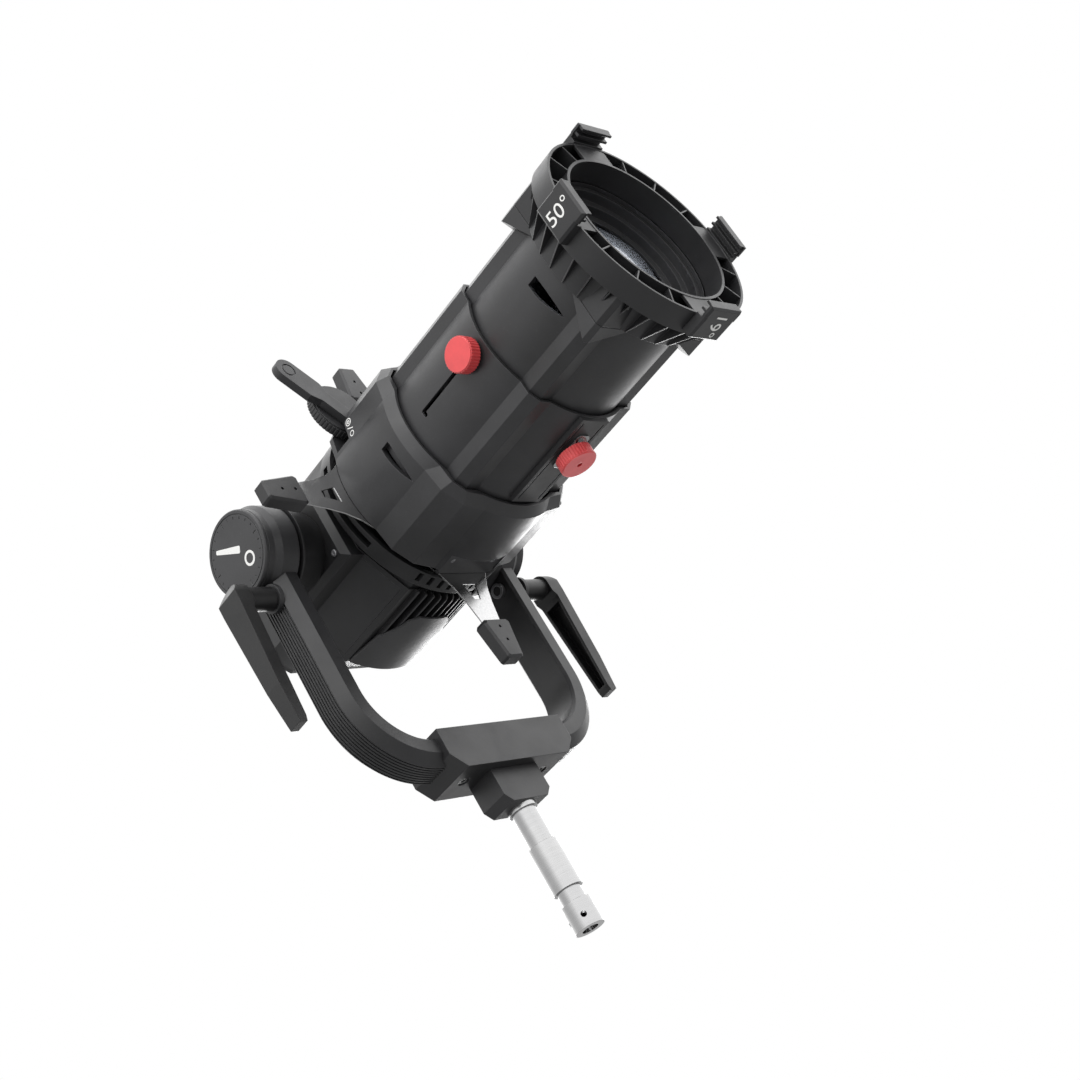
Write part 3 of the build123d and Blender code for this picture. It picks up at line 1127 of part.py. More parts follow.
def clip(turn):
    """One accessory holder: a plate on the ring, ending in a bar with two channels open to the axis."""
    half = CLIP_HALF_WIDTH
    bar_rear = CLIP_FRONT_Y + CLIP_BAR_LENGTH
    face = RING_R + CLIP_PLATE_THICKNESS
    plate = block(RING_R - CLIP_SADDLE, face, bar_rear, CLIP_REAR_Y, -half, half)
    plate = chamfer(plate.faces().sort_by(Axis.X)[-1].edges().sort_by(Axis.Y)[1:], CLIP_BEVEL)
    low = RING_R - 1.1
    channel_top = low + CLIP_CHANNEL_DEPTH
    wide = CLIP_BAR_HALF_WIDTH
    bar = block(channel_top, face, CLIP_FRONT_Y, bar_rear, -wide, wide)
    plate += chamfer(bar.faces().sort_by(Axis.X)[-1].edges().sort_by(Axis.Y)[:-1], CLIP_BEVEL)
    for i in range(3):
        y = CLIP_FRONT_Y + i * (CLIP_FIN_THICKNESS + CLIP_CHANNEL)
        if i < 2:
            channel_front = y + CLIP_FIN_THICKNESS
            plate -= block(low - 1, channel_top, channel_front, channel_front + CLIP_CHANNEL, -wide, wide)
        plate += block(low, channel_top + 1, y, y + CLIP_FIN_THICKNESS, -half, half)
    plate -= rod_y(RING_R, 0, 0, CLIP_REAR_Y + 1, RING_FRONT_Y)
    return Rot(0, turn, 0) * plate


def clips():
    return [clip(turn) for turn in (0, 90, 180, 270)]


def save(name, shape):
    solids = shape if isinstance(shape, (list, tuple)) else [shape]
    export_step(Compound(children=[s for item in solids for s in item.solids()]), "parts/" + name + ".step")


def main():
    band = yoke_band()
    save("yoke_band", band)
    save("base_clamp", base_clamp(band))
    save("clamp_screws", clamp_screws())
    save("stem_block", stem_block())
    save("stand_pin", stand_pin())
    covers = {"bottom_cover": bulged_cover(-1), "top_cover": bulged_cover(1)}
    in_head_frame = {
        "hub_drums": pair(hub_drum()),
        "hub_bushes": pair(hub_bush()),
        "hub_caps": pair(hub_cap()),
        "lever_collars": pair(lever_collar()),
        "lever_nuts": pair(lever_nut()),
        "lever_right": lever(),
        "lever_left": mirrored(lever()),
        "trunnions": pair(trunnion()),
        "trunnion_blocks": pair(trunnion_block()),
        "lamp_shell": lamp_shell(list(covers.values())),
        "lamp_front": lamp_front(),
        "side_panels": side_panels(),
        **covers,
        "heat_sink": heat_sink(),
        "led_module": led_module(),
        "condenser_lens": condenser(),
        "condenser_seat": condenser_seat(),
        "fan_frame": fan_frame(),
        "fan_rotor": fan_rotor(),
        "rear_louvres": rear_louvres(),
        "rear_cover": rear_cover(),
        "control_knob": control_knob(),
        "power_inlet": power_inlet(),
        "neck_ring": neck_ring(),
        "gate_plate": gate_plate(),
        "gate_spacer": gate_spacer(),
        "gate_housing": gate_housing(),
        "gate_core": gate_core(),
        "gate_covers": [mirror(gate_cover(COVER_FLAT_HALF_WIDTH), about=Plane.XY),
                        gate_cover(TOP_FLAT_HALF_WIDTH)],
        "wheel_carrier": wheel_carrier(),
        "gobo_wheel": gobo_wheel(),
        "gobo_ring": gobo_ring(),
        "iris_lever": iris_lever(),
        "middle_sleeve": middle_sleeve(),
        "glide_rings": glide_rings(),
        "rail_plate": rail_plate(),
        "lock_plate": lock_plate(),
        "side_knob": side_knob(),
        "belly_knob": belly_knob(),
        "front_tube": front_tube(),
        "front_flange": front_flange(),
        "accessory_ring": accessory_ring(),
        "lens_hood": lens_hood(),
        "front_lens": front_lens(),
        "lens_retainer": lens_retainer(),
        "accessory_clips": clips(),
    }
    for side in GRIP_REACH:
        in_head_frame["shutter_" + side] = blade(side)
        in_head_frame["grip_" + side] = grip(side)
    for name, shape in in_head_frame.items():
        solids = shape if isinstance(shape, (list, tuple)) else [shape]
        save(name, [HEAD * solid for solid in solids])


if __name__ == "__main__":
    main()
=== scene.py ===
import bpy
import json
from math import cos, radians, sin
from mathutils import Matrix, Vector


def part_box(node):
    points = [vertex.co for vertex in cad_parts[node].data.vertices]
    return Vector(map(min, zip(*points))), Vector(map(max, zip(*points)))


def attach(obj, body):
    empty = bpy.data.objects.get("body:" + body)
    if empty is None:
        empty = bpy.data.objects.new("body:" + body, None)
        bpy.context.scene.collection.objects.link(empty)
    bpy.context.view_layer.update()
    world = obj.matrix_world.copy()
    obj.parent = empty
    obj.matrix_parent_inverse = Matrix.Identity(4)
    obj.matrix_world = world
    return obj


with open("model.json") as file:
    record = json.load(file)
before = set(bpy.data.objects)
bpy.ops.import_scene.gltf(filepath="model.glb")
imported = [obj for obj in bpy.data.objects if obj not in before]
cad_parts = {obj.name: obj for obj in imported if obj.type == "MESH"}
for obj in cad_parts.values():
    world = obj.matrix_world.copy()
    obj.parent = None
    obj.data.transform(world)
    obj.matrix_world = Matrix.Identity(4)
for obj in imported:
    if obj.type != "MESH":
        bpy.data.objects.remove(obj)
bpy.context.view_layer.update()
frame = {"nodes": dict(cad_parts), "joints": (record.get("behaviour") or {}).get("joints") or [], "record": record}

bl_info = {
    "name": "Ellipsoidal Spotlight",
    "version": (1, 0, 0),
    "blender": (4, 5, 0),
    "location": "View3D > Sidebar > Spotlight",
    "description": "Finishes, markings and small fittings of a framing spotlight in a tilt yoke",
    "category": "Object",
}

PIVOT = Vector(next(joint["pos_m"] for joint in frame["joints"] if joint["name"] == "tilt"))
BASE_COLOURS = {item["slot"]: item["base_color"] for item in frame["record"]["materials"]}
SLOT_OF_NODE = {part["node"]: part["material_slot"] for part in frame["record"]["subparts"]}

# How much of its slot's plain colour a finish shows; slots not named show all of it
SHADE_OF_SLOT = {"yoke_black": 0.75, "black_metal": 0.60, "lever_black": 0.30, "bright_steel": 0.48,
                 "blade_steel": 0.56}

# Middle of the printed beam angle, behind the front of an accessory clip
BADGE_FROM_CLIP_FRONT = 0.0180

# Marks on a hub cap, as (Y, Z) from the tilt axis
CAP_INDEX_PLACE = (0.008, 0.010)
CAP_INDEX_LENGTH = 0.034
CAP_INDEX_WIDTH = 0.0072
CAP_INDEX_POINT = 0.45
CAP_RING_PLACE = (-0.012, -0.014)
CAP_RING_OUTER_R = 0.0072
CAP_RING_INNER_R = 0.0048

# The housing's facet beside the iris slot: its direction, its distance from the beam, and its marks
FACET_DEG = 166.7
FACET_REACH = 0.0948
FACET_MARK_RISE = 0.0400
FACET_MARK_Y = -0.1170
FACET_BAR_DROP = 0.0075
FACET_SMALL_RING_DROP = 0.0140

# Screws: heights of their heads and their places on the covers, from the tilt axis
COVER_SCREW_HEIGHT = 0.0013
COVER_SCREW_INSET = 0.009
COVER_SCREW_SINK = 0.0015
COVER_HALF_WIDTHS = {"bottom": 0.0357, "top": 0.0257}
PANEL_SCREW_HEIGHT = 0.0016
REAR_SCREW_X = 0.046
REAR_SCREW_Z = 0.038
BLOCK_SCREW_Y = 0.040
BLOCK_SCREW_Z = 0.032

# Display window and buttons on the rear cover, from the tilt axis
DISPLAY_SINK = 0.0012
DISPLAY_X = -0.027
DISPLAY_Z = -0.020
DISPLAY_HEIGHT = 0.020
DISPLAY_THICKNESS = 0.0011
BUTTON_X = 0.006
BUTTON_ZS = (-0.0145, -0.0255)

# Contacts in the power inlet
CONTACT_SEAT = 0.0080
CONTACT_CIRCLE_R = 0.0034

# Camera: focal length in mm, its turn as an axis scaled by the angle, and its place from the tilt axis
CAMERA_LENS = 58.5013
CAMERA_SWING = (-2.09689087, 0.444685786, 0.951409014)
CAMERA_PLACE = (-1.18416835, -0.973160730, -0.787351495)

# Studio light: soft boxes from the tilt axis, the height band where the world turns from dim to
# bright, and the direction and spread of the shade at the rear left
KEY_LIGHT_PLACE = (-1.9, -1.3, 1.9)
KEY_LIGHT_SIZE = (1.6, 1.2)
REAR_LIGHT_PLACE = (2.0, 1.6, 0.1)
REAR_LIGHT_SIZE = (1.3, 1.0)
REAR_LIGHT_SHARE = 2.8
SKY_BAND = (-0.30, 0.24)
FLAG_DIRECTION = (-0.62, 0.56, 0.55)
FLAG_BAND = (0.50, 0.92)


def low(node):
    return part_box(node)[0]


def high(node):
    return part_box(node)[1]


# ---------------------------------------------------------------- what a user may change
class SpotlightFinish(bpy.types.PropertyGroup):
    red: bpy.props.FloatVectorProperty(
        name="Knob red", description="Colour of the anodised lock knobs", subtype="COLOR", size=3,
        default=(0.76, 0.070, 0.075), min=0.0, max=1.0)
    marking: bpy.props.FloatVectorProperty(
        name="Marking paint", description="Colour of the printed numbers and marks", subtype="COLOR",
        size=3, default=(0.82, 0.82, 0.80), min=0.0, max=1.0)
    # Paler edges: partly real wear and partly a painted highlight on every rounded edge
    edge_wear_and_highlight: bpy.props.FloatProperty(
        name="Edge wear", description="How much paler the handled edges are", subtype="FACTOR",
        default=0.45, min=0.0, max=1.0)
    edge_radius: bpy.props.FloatProperty(
        name="Edge radius", description="Rounding that shows on machined and moulded edges",
        subtype="DISTANCE", unit="LENGTH", default=0.0007, min=0.0, max=0.003)
    grain_depth: bpy.props.FloatProperty(
        name="Grain depth", description="Height of the fine grain on moulded and coated surfaces",
        subtype="DISTANCE", unit="LENGTH", default=0.00005, min=0.0, max=0.0005)


class SpotlightSizes(bpy.types.PropertyGroup):
    number_height: bpy.props.FloatProperty(
        name="Number height", description="Letter size of the beam angle on the accessory clips",
        subtype="DISTANCE", unit="LENGTH", default=0.0196, min=0.004, max=0.03)
    print_thickness: bpy.props.FloatProperty(
        name="Print thickness", description="Height of printed marks above their surface",
        subtype="DISTANCE", unit="LENGTH", default=0.00012, min=0.00005, max=0.001)
    cover_screw_radius: bpy.props.FloatProperty(
        name="Cover screw radius", description="Head radius of the screws in the slot covers",
        subtype="DISTANCE", unit="LENGTH", default=0.0024, min=0.001, max=0.0026)
    rear_screw_radius: bpy.props.FloatProperty(
        name="Rear screw radius", description="Head radius of the screws in the rear cover",
        subtype="DISTANCE", unit="LENGTH", default=0.0032, min=0.001, max=0.005)
    display_length: bpy.props.FloatProperty(
        name="Display length", description="Length of the display window on the rear cover",
        subtype="DISTANCE", unit="LENGTH", default=0.042, min=0.01, max=0.05)


class SpotlightStage(bpy.types.PropertyGroup):
    floor_size: bpy.props.FloatProperty(
        name="Floor size", description="Side of the square floor", subtype="DISTANCE", unit="LENGTH",
        default=14.0, min=1.0, max=50.0)
    floor_drop: bpy.props.FloatProperty(
        name="Floor drop", description="How far the floor lies below the end of the stand pin",
        subtype="DISTANCE", unit="LENGTH", default=1.3, min=0.0, max=5.0)
    sky_light: bpy.props.FloatProperty(
        name="Overhead light", description="Brightness of the soft light from above", default=2.1,
        min=0.0, max=20.0)
    low_light: bpy.props.FloatProperty(
        name="Low light", description="Brightness of the light from below", default=0.50,
        min=0.0, max=20.0)
    flag_share: bpy.props.FloatProperty(
        name="Rear left shade", description="Share of the overhead light left at the rear left",
        subtype="FACTOR", default=0.50, min=0.0, max=1.0)
    key_power: bpy.props.FloatProperty(
        name="Key light", description="Power of the large soft light at the front left",
        subtype="POWER", unit="POWER", default=14.0, min=0.0, max=1000.0)


# ---------------------------------------------------------------- finishes
def new_finish(name):
    material = bpy.data.materials.new(name)
    material.use_nodes = True
    return material, material.node_tree, material.node_tree.nodes["Principled BSDF"]


def put(tree, kind, links=(), **values):
    """Adds a node, sets its input values by name, and links (input name, output) pairs into it."""
    node = tree.nodes.new(kind)
    for name, value in values.items():
        node.inputs[name.replace("_", " ")].default_value = value
    for name, output in links:
        tree.links.new(output, node.inputs[name])
    return node


def placed(tree, stretch=(1.0, 1.0, 1.0)):
    """Object coordinates, centred on the tilt axis and stretched."""
    coordinates = put(tree, "ShaderNodeTexCoord").outputs["Object"]
    place = put(tree, "ShaderNodeMapping", [("Vector", coordinates)], Scale=stretch)
    place.inputs["Location"].default_value = [-PIVOT[i] * stretch[i] for i in range(3)]
    return place.outputs["Vector"]


def noise(tree, scale, detail=3.0, stretch=(1.0, 1.0, 1.0)):
    texture = put(tree, "ShaderNodeTexNoise", [("Vector", placed(tree, stretch))], Scale=scale,
                  Detail=detail, Roughness=0.6)
    return texture.outputs["Fac"]


def ranged(tree, value, to_low, to_high, from_low=0.3, from_high=0.7):
    node = put(tree, "ShaderNodeMapRange", [("Value", value)])
    for name, number in zip(("From Min", "From Max", "To Min", "To Max"),
                            (from_low, from_high, to_low, to_high)):
        node.inputs[name].default_value = number
    return node.outputs["Result"]


def calculated(tree, operation, first, second):
    node = put(tree, "ShaderNodeMath")
    node.operation = operation
    for socket, value in zip(node.inputs, (first, second)):
        if isinstance(value, (int, float)):
            socket.default_value = value
        else:
            tree.links.new(value, socket)
    return node.outputs["Value"]


def blended(tree, share, first, second):
    """A colour between two, each a colour socket or three numbers."""
    node = tree.nodes.new("ShaderNodeMix")
    node.data_type = "RGBA"
    tree.links.new(share, node.inputs["Factor"])
    for socket, value in ((node.inputs[6], first), (node.inputs[7], second)):
        if isinstance(value, bpy.types.NodeSocket):
            tree.links.new(value, socket)
        else:
            socket.default_value = (*value[:3], 1.0)
    return node.outputs[2]


def rounded_normal(tree, radius):
    bevel = put(tree, "ShaderNodeBevel", Radius=radius)
    bevel.samples = 6
    return bevel.outputs["Normal"]


def edge_share(tree, normal):
    """Near 1 where the rounded edge turns away from the flat face, and 0 on the faces."""
    geometry = put(tree, "ShaderNodeNewGeometry").outputs["Normal"]
    turned = put(tree, "ShaderNodeVectorMath")
    turned.operation = "DOT_PRODUCT"
    tree.links.new(normal, turned.inputs[0])
    tree.links.new(geometry, turned.inputs[1])
    return ranged(tree, turned.outputs["Value"], 1.0, 0.0, 0.80, 0.985)


def bumped(tree, heights, normal=None):
    """A bump for each (height, depth in metres), one over the other."""
    for height, depth in heights:
        node = put(tree, "ShaderNodeBump", [("Height", height)], Strength=1.0, Distance=depth)
        if normal is not None:
            tree.links.new(normal, node.inputs["Normal"])
        normal = node.outputs["Normal"]
    return normal


def tinted(colour, factor, cool=0.0):
    return (colour[0] * factor, colour[1] * factor, colour[2] * factor * (1.0 + cool))


def dark_coating(name, colour, rough, grain_scale, grain_share=1.0, wear_and_highlight=1.0, streak=(1.0, 1.0, 1.0)):
    """Anodised or moulded black: a mottled colour, fine grain, dust, and paler edges that are partly wear and
    partly a painted highlight.
    """
    choice = bpy.context.scene.spotlight_finish
    material, tree, shader = new_finish(name)
    cloud = noise(tree, 14.0, 4.0, streak)
    speck = noise(tree, 420.0, 2.0, streak)
    colour_cloud = blended(tree, ranged(tree, cloud, 0.0, 1.0), tinted(colour, 0.80),
                           tinted(colour, 1.22, 0.03))
    dust = calculated(tree, "MULTIPLY", ranged(tree, speck, 0.0, 1.0, 0.62, 0.80), 0.20)
    colour_dusty = blended(tree, dust, colour_cloud, tinted(colour, 3.0))
    normal = rounded_normal(tree, choice.edge_radius)
    # The paler colour on the rounded edges is partly wear and partly a painted highlight
    edge = edge_share(tree, normal)
    scuff = ranged(tree, noise(tree, 70.0, 5.0), 0.25, 1.0, 0.40, 0.62)
    scuffed_and_lit_edge = calculated(tree, "MULTIPLY", edge, scuff)
    worn_and_lit = calculated(tree, "MULTIPLY", scuffed_and_lit_edge, choice.edge_wear_and_highlight * wear_and_highlight)
    tree.links.new(blended(tree, worn_and_lit, colour_dusty, tinted(colour, 5.0)), shader.inputs["Base Color"])
    smear = ranged(tree, noise(tree, 32.0, 6.0, streak), rough - 0.07, rough + 0.08)
    tree.links.new(calculated(tree, "SUBTRACT", smear, calculated(tree, "MULTIPLY", worn_and_lit, 0.12)),
                   shader.inputs["Roughness"])
    grain = noise(tree, grain_scale, 2.0)
    wave = noise(tree, 46.0, 2.0)
    relief = [(grain, choice.grain_depth * grain_share), (wave, choice.grain_depth * 1.2)]
    tree.links.new(bumped(tree, relief, normal), shader.inputs["Normal"])
    return material


def bright_metal(name, colour, rough, streak, streak_scale, depth=0.000008):
    """Turned, brushed or polished metal: fine lines one way, faint stains and finger marks."""
    choice = bpy.context.scene.spotlight_finish
    material, tree, shader = new_finish(name)
    shader.inputs["Metallic"].default_value = 1.0
    lines = noise(tree, streak_scale, 2.0, streak)
    stain = noise(tree, 24.0, 5.0)
    base = blended(tree, ranged(tree, stain, 0.0, 1.0), tinted(colour, 0.90, 0.01), tinted(colour, 1.04))
    base = blended(tree, ranged(tree, lines, 0.0, 0.22), base, tinted(colour, 0.62))
    tree.links.new(base, shader.inputs["Base Color"])
    soiled = ranged(tree, stain, rough - 0.04, rough + 0.08)
    tree.links.new(calculated(tree, "ADD", soiled, ranged(tree, lines, 0.0, 0.05)),
                   shader.inputs["Roughness"])
    normal = rounded_normal(tree, choice.edge_radius * 0.6)
    tree.links.new(bumped(tree, [(lines, depth)], normal), shader.inputs["Normal"])
    return material


def red_anodised(name):
    choice = bpy.context.scene.spotlight_finish
    material, tree, shader = new_finish(name)
    red = tuple(choice.red)
    shader.inputs["Coat Weight"].default_value = 0.35
    shader.inputs["Coat Roughness"].default_value = 0.25
    shader.inputs["Metallic"].default_value = 0.12
    cloud = noise(tree, 60.0, 4.0)
    normal = rounded_normal(tree, choice.edge_radius * 0.8)
    edge = calculated(tree, "MULTIPLY", edge_share(tree, normal), 0.35)
    base = blended(tree, ranged(tree, cloud, 0.0, 1.0), tinted(red, 0.90), tinted(red, 1.06))
    tree.links.new(blended(tree, edge, base, (0.80, 0.34, 0.34)), shader.inputs["Base Color"])
    tree.links.new(ranged(tree, noise(tree, 150.0), 0.30, 0.42), shader.inputs["Roughness"])
    grain = noise(tree, 2200.0, 2.0)
    tree.links.new(bumped(tree, [(grain, 0.00001)], normal), shader.inputs["Normal"])
    return material


def clear_glass(name, colour):
    """Coated lens glass with a faint film of dust."""
    material, tree, shader = new_finish(name)
    shader.inputs["Transmission Weight"].default_value = 1.0
    shader.inputs["IOR"].default_value = 1.5
    shader.inputs["Coat Weight"].default_value = 0.25
    shader.inputs["Coat Tint"].default_value = (0.80, 0.86, 1.0, 1.0)
    shader.inputs["Coat Roughness"].default_value = 0.03
    dust = noise(tree, 380.0, 5.0)
    smear = noise(tree, 22.0, 3.0)
    base = blended(tree, ranged(tree, dust, 0.0, 0.08, 0.55, 0.8), colour, tinted(colour, 0.75))
    tree.links.new(base, shader.inputs["Base Color"])
    tree.links.new(ranged(tree, smear, 0.02, 0.09), shader.inputs["Roughness"])
    tree.links.new(bumped(tree, [(smear, 0.00001)]), shader.inputs["Normal"])
    return material


def phosphor(name, colour):
    """The emitter: a domed yellow gel with a regular pattern of dots under it."""
    material, tree, shader = new_finish(name)
    cells = put(tree, "ShaderNodeTexVoronoi", [("Vector", placed(tree))], Scale=420.0, Randomness=0.1)
    dots = ranged(tree, cells.outputs["Distance"], 1.0, 0.0, 0.05, 0.40)
    tree.links.new(blended(tree, dots, colour, tinted(colour, 0.45)), shader.inputs["Base Color"])
    tree.links.new(ranged(tree, noise(tree, 90.0), 0.18, 0.32), shader.inputs["Roughness"])
    tree.links.new(bumped(tree, [(dots, 0.0001)]), shader.inputs["Normal"])
    shader.inputs["Coat Weight"].default_value = 0.5
    return material


def printed_ink(name):
    choice = bpy.context.scene.spotlight_finish
    material, tree, shader = new_finish(name)
    ink = tuple(choice.marking)
    thin = ranged(tree, noise(tree, 900.0, 4.0), 0.0, 1.0, 0.55, 0.80)
    tree.links.new(blended(tree, thin, ink, tinted(ink, 0.72)), shader.inputs["Base Color"])
    tree.links.new(ranged(tree, noise(tree, 300.0), 0.45, 0.65), shader.inputs["Roughness"])
    tree.links.new(bumped(tree, [(noise(tree, 1500.0), 0.00002)]), shader.inputs["Normal"])
    return material


def display_glass(name):
    """A dark window with a faint grid of dots below a smooth coat."""
    material, tree, shader = new_finish(name)
    cells = put(tree, "ShaderNodeTexVoronoi", [("Vector", placed(tree))], Scale=1400.0, Randomness=0.0)
    grid = ranged(tree, cells.outputs["Distance"], 0.0, 1.0, 0.3, 0.6)
    tree.links.new(blended(tree, grid, (0.010, 0.016, 0.024), (0.018, 0.026, 0.034)),
                   shader.inputs["Base Color"])
    tree.links.new(ranged(tree, noise(tree, 40.0, 5.0), 0.10, 0.22), shader.inputs["Roughness"])
    tree.links.new(bumped(tree, [(noise(tree, 120.0), 0.00001)]), shader.inputs["Normal"])
    shader.inputs["Coat Weight"].default_value = 1.0
    return material


def make_finishes():
    tone = dict(BASE_COLOURS)
    for slot, share in SHADE_OF_SLOT.items():
        tone[slot] = tinted(tone[slot], share)
    coat = dark_coating
    finishes = {
        "yoke_black": coat("yoke_black", tone["yoke_black"], 0.40, 1500.0, 0.7, 1.0),
        "black_metal": coat("black_metal", tone["black_metal"], 0.42, 1700.0, 0.6, 0.9),
        "barrel_black": coat("barrel_black", tone["barrel_black"], 0.40, 1300.0, 0.8, 0.9),
        "black_plastic": coat("black_plastic", tone["black_plastic"], 0.46, 900.0, 1.0, 0.7),
        "lever_black": coat("lever_black", tone["lever_black"], 0.44, 800.0, 1.3, 1.0),
        "grip_plastic": coat("grip_plastic", tone["grip_plastic"], 0.46, 700.0, 1.6, 1.0),
        "hood_plastic": coat("hood_plastic", tone["hood_plastic"], 0.44, 950.0, 1.0, 0.9),
        "dark_panel": coat("dark_panel", tone["dark_panel"], 0.48, 1000.0, 1.2, 0.5),
        "slip_plastic": coat("slip_plastic", tone["slip_plastic"], 0.50, 600.0, 1.0, 0.2),
        "bright_steel": bright_metal("bright_steel", tone["bright_steel"], 0.17, (1.0, 1.0, 60.0), 40.0),
        "nut_steel": bright_metal("nut_steel", tone["nut_steel"], 0.34, (60.0, 1.0, 1.0), 40.0),
        "blade_steel": bright_metal("blade_steel", tone["blade_steel"], 0.16, (3.0, 3.0, 3.0), 160.0),
        "bronze": bright_metal("bronze", tone["bronze"], 0.38, (40.0, 1.0, 1.0), 60.0, 0.00002),
        "heat_sink_aluminium": bright_metal("heat_sink_aluminium", tone["heat_sink_aluminium"], 0.34,
                                            (1.0, 0.05, 1.0), 700.0, 0.00002),
        "red_anodised": red_anodised("red_anodised"),
        "lens_glass": clear_glass("lens_glass", tone["lens_glass"]),
        "led_yellow": phosphor("led_yellow", tone["led_yellow"]),
    }
    return finishes


def finish_of(name):
    return bpy.data.materials[name]


# ---------------------------------------------------------------- modelling helpers
def only(piece):
    bpy.ops.object.select_all(action="DESELECT")
    piece.select_set(True)
    bpy.context.view_layer.objects.active = piece
    return piece


def in_edit(piece, pick=None):
    """Opens edit mode with only the faces chosen by pick(centre, normal) selected."""
    only(piece)
    bpy.ops.object.mode_set(mode="EDIT")
    bpy.context.tool_settings.mesh_select_mode = (False, False, True)
    bpy.ops.mesh.select_all(action="SELECT" if pick is None else "DESELECT")
    if pick is not None:
        bpy.ops.object.mode_set(mode="OBJECT")
        for face in piece.data.polygons:
            face.select = bool(pick(face.center, face.normal))
        bpy.ops.object.mode_set(mode="EDIT")


def leave_edit():
    bpy.ops.object.mode_set(mode="OBJECT")


def apply_modifier(piece, kind, **settings):
    only(piece)
    modifier = piece.modifiers.new(kind.title(), kind)
    for name, value in settings.items():
        setattr(modifier, name, value)
    bpy.ops.object.modifier_apply(modifier=modifier.name)


def move_into_mesh(piece, place):
    """Gives the piece its place and puts that place into its mesh."""
    piece.matrix_world = place
    only(piece)
    bpy.ops.object.transform_apply(location=True, rotation=True, scale=True)


def copied(piece, name, place):
    only(piece)
    bpy.ops.object.duplicate(linked=False)
    twin = bpy.context.active_object
    twin.name = name
    move_into_mesh(twin, place)
    return twin


def discard(piece):
    only(piece)
    bpy.ops.object.delete()


def settled(piece, body, finish, smooth=None):
    """Gives a finished piece its material and the body it moves with."""
    piece.data.materials.clear()
    piece.data.materials.append(finish_of(finish))
    if smooth is not None:
        only(piece)
        bpy.ops.object.shade_smooth_by_angle(angle=radians(smooth))
    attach(piece, body)
    return piece


def facing(origin, outward, upward):
    """A place whose Z looks outward and whose Y looks upward, for prints and screws."""
    z_axis = Vector(outward).normalized()
    x_axis = Vector(upward).cross(z_axis).normalized()
    y_axis = z_axis.cross(x_axis)
    turn = Matrix((x_axis, y_axis, z_axis)).transposed().to_4x4()
    return Matrix.Translation(Vector(origin)) @ turn


def around_beam(radius, degrees, y):
    return PIVOT + Vector((radius * cos(radians(degrees)), y, radius * sin(radians(degrees))))


def socket_screw(name, radius, height):
    """A screw head with a rounded rim and a hexagonal socket, its seat at the origin."""
    bpy.ops.object.select_all(action="DESELECT")
    bpy.ops.mesh.primitive_cylinder_add(vertices=32, radius=radius, depth=height,
                                        location=(0, 0, height / 2))
    head = bpy.context.active_object
    head.name = name
    move_into_mesh(head, head.matrix_world.copy())
    in_edit(head, lambda centre, normal: normal.z > 0.9)
    bpy.ops.mesh.inset(thickness=radius * 0.22, depth=0)
    bpy.ops.transform.translate(value=(0, 0, height * 0.18))
    leave_edit()
    bpy.ops.object.select_all(action="DESELECT")
    bpy.ops.mesh.primitive_cylinder_add(vertices=6, radius=radius * 0.5, depth=height,
                                        location=(0, 0, height * 1.05))
    key = bpy.context.active_object
    apply_modifier(head, "BOOLEAN", object=key, operation="DIFFERENCE", solver="EXACT")
    discard(key)
    apply_modifier(head, "BEVEL", width=radius * 0.07, segments=2, limit_method="ANGLE",
                   angle_limit=radians(30))
    return head


def printed_text(name, words, size, place):
    choice = bpy.context.scene.spotlight_sizes
    bpy.ops.object.select_all(action="DESELECT")
    bpy.ops.object.text_add()
    text = bpy.context.active_object
    text.name = name
    text.data.body = words
    text.data.size = size
    text.data.extrude = choice.print_thickness / 2
    text.data.align_x = "CENTER"
    text.data.align_y = "CENTER"
    text.data.resolution_u = 6
    only(text)
    bpy.ops.object.convert(target="MESH")
    text = bpy.context.active_object
    move_into_mesh(text, place)
    return text


def printed_ring(name, outer, inner, place):
    """A flat printed ring, raised by the print's thickness."""
    choice = bpy.context.scene.spotlight_sizes
    bpy.ops.object.select_all(action="DESELECT")
    bpy.ops.mesh.primitive_circle_add(vertices=40, radius=outer, fill_type="NGON")
    ring = bpy.context.active_object
    ring.name = name
    in_edit(ring)
    bpy.ops.mesh.inset(thickness=outer - inner, depth=0)
    bpy.ops.mesh.delete(type="FACE")
    bpy.ops.mesh.select_all(action="SELECT")
    bpy.ops.mesh.normals_make_consistent(inside=False)
    leave_edit()
    apply_modifier(ring, "SOLIDIFY", thickness=choice.print_thickness, offset=1.0)
    move_into_mesh(ring, place)
    return ring


def printed_bar(name, length, width, place, pointed=0.0):
    """A printed bar along its local X, its far end drawn in by the share given."""
    choice = bpy.context.scene.spotlight_sizes
    bpy.ops.object.select_all(action="DESELECT")
    bpy.ops.mesh.primitive_plane_add(size=1.0)
    bar = bpy.context.active_object
    bar.name = name
    move_into_mesh(bar, Matrix.Diagonal((length, width, 1.0, 1.0)))
    only(bar)
    bpy.ops.object.mode_set(mode="EDIT")
    bpy.context.tool_settings.mesh_select_mode = (True, False, False)
    bpy.ops.mesh.select_all(action="DESELECT")
    bpy.ops.object.mode_set(mode="OBJECT")
    for vertex in bar.data.vertices:
        vertex.select = vertex.co.x > 0
    bpy.ops.object.mode_set(mode="EDIT")
    bpy.ops.transform.resize(value=(1.0, 1.0 - pointed, 1.0))
    bpy.ops.mesh.select_all(action="SELECT")
    bpy.ops.mesh.bevel(affect="VERTICES", offset=width * 0.2, segments=3)
    leave_edit()
    apply_modifier(bar, "SOLIDIFY", thickness=choice.print_thickness, offset=1.0)
    move_into_mesh(bar, place)
    return bar


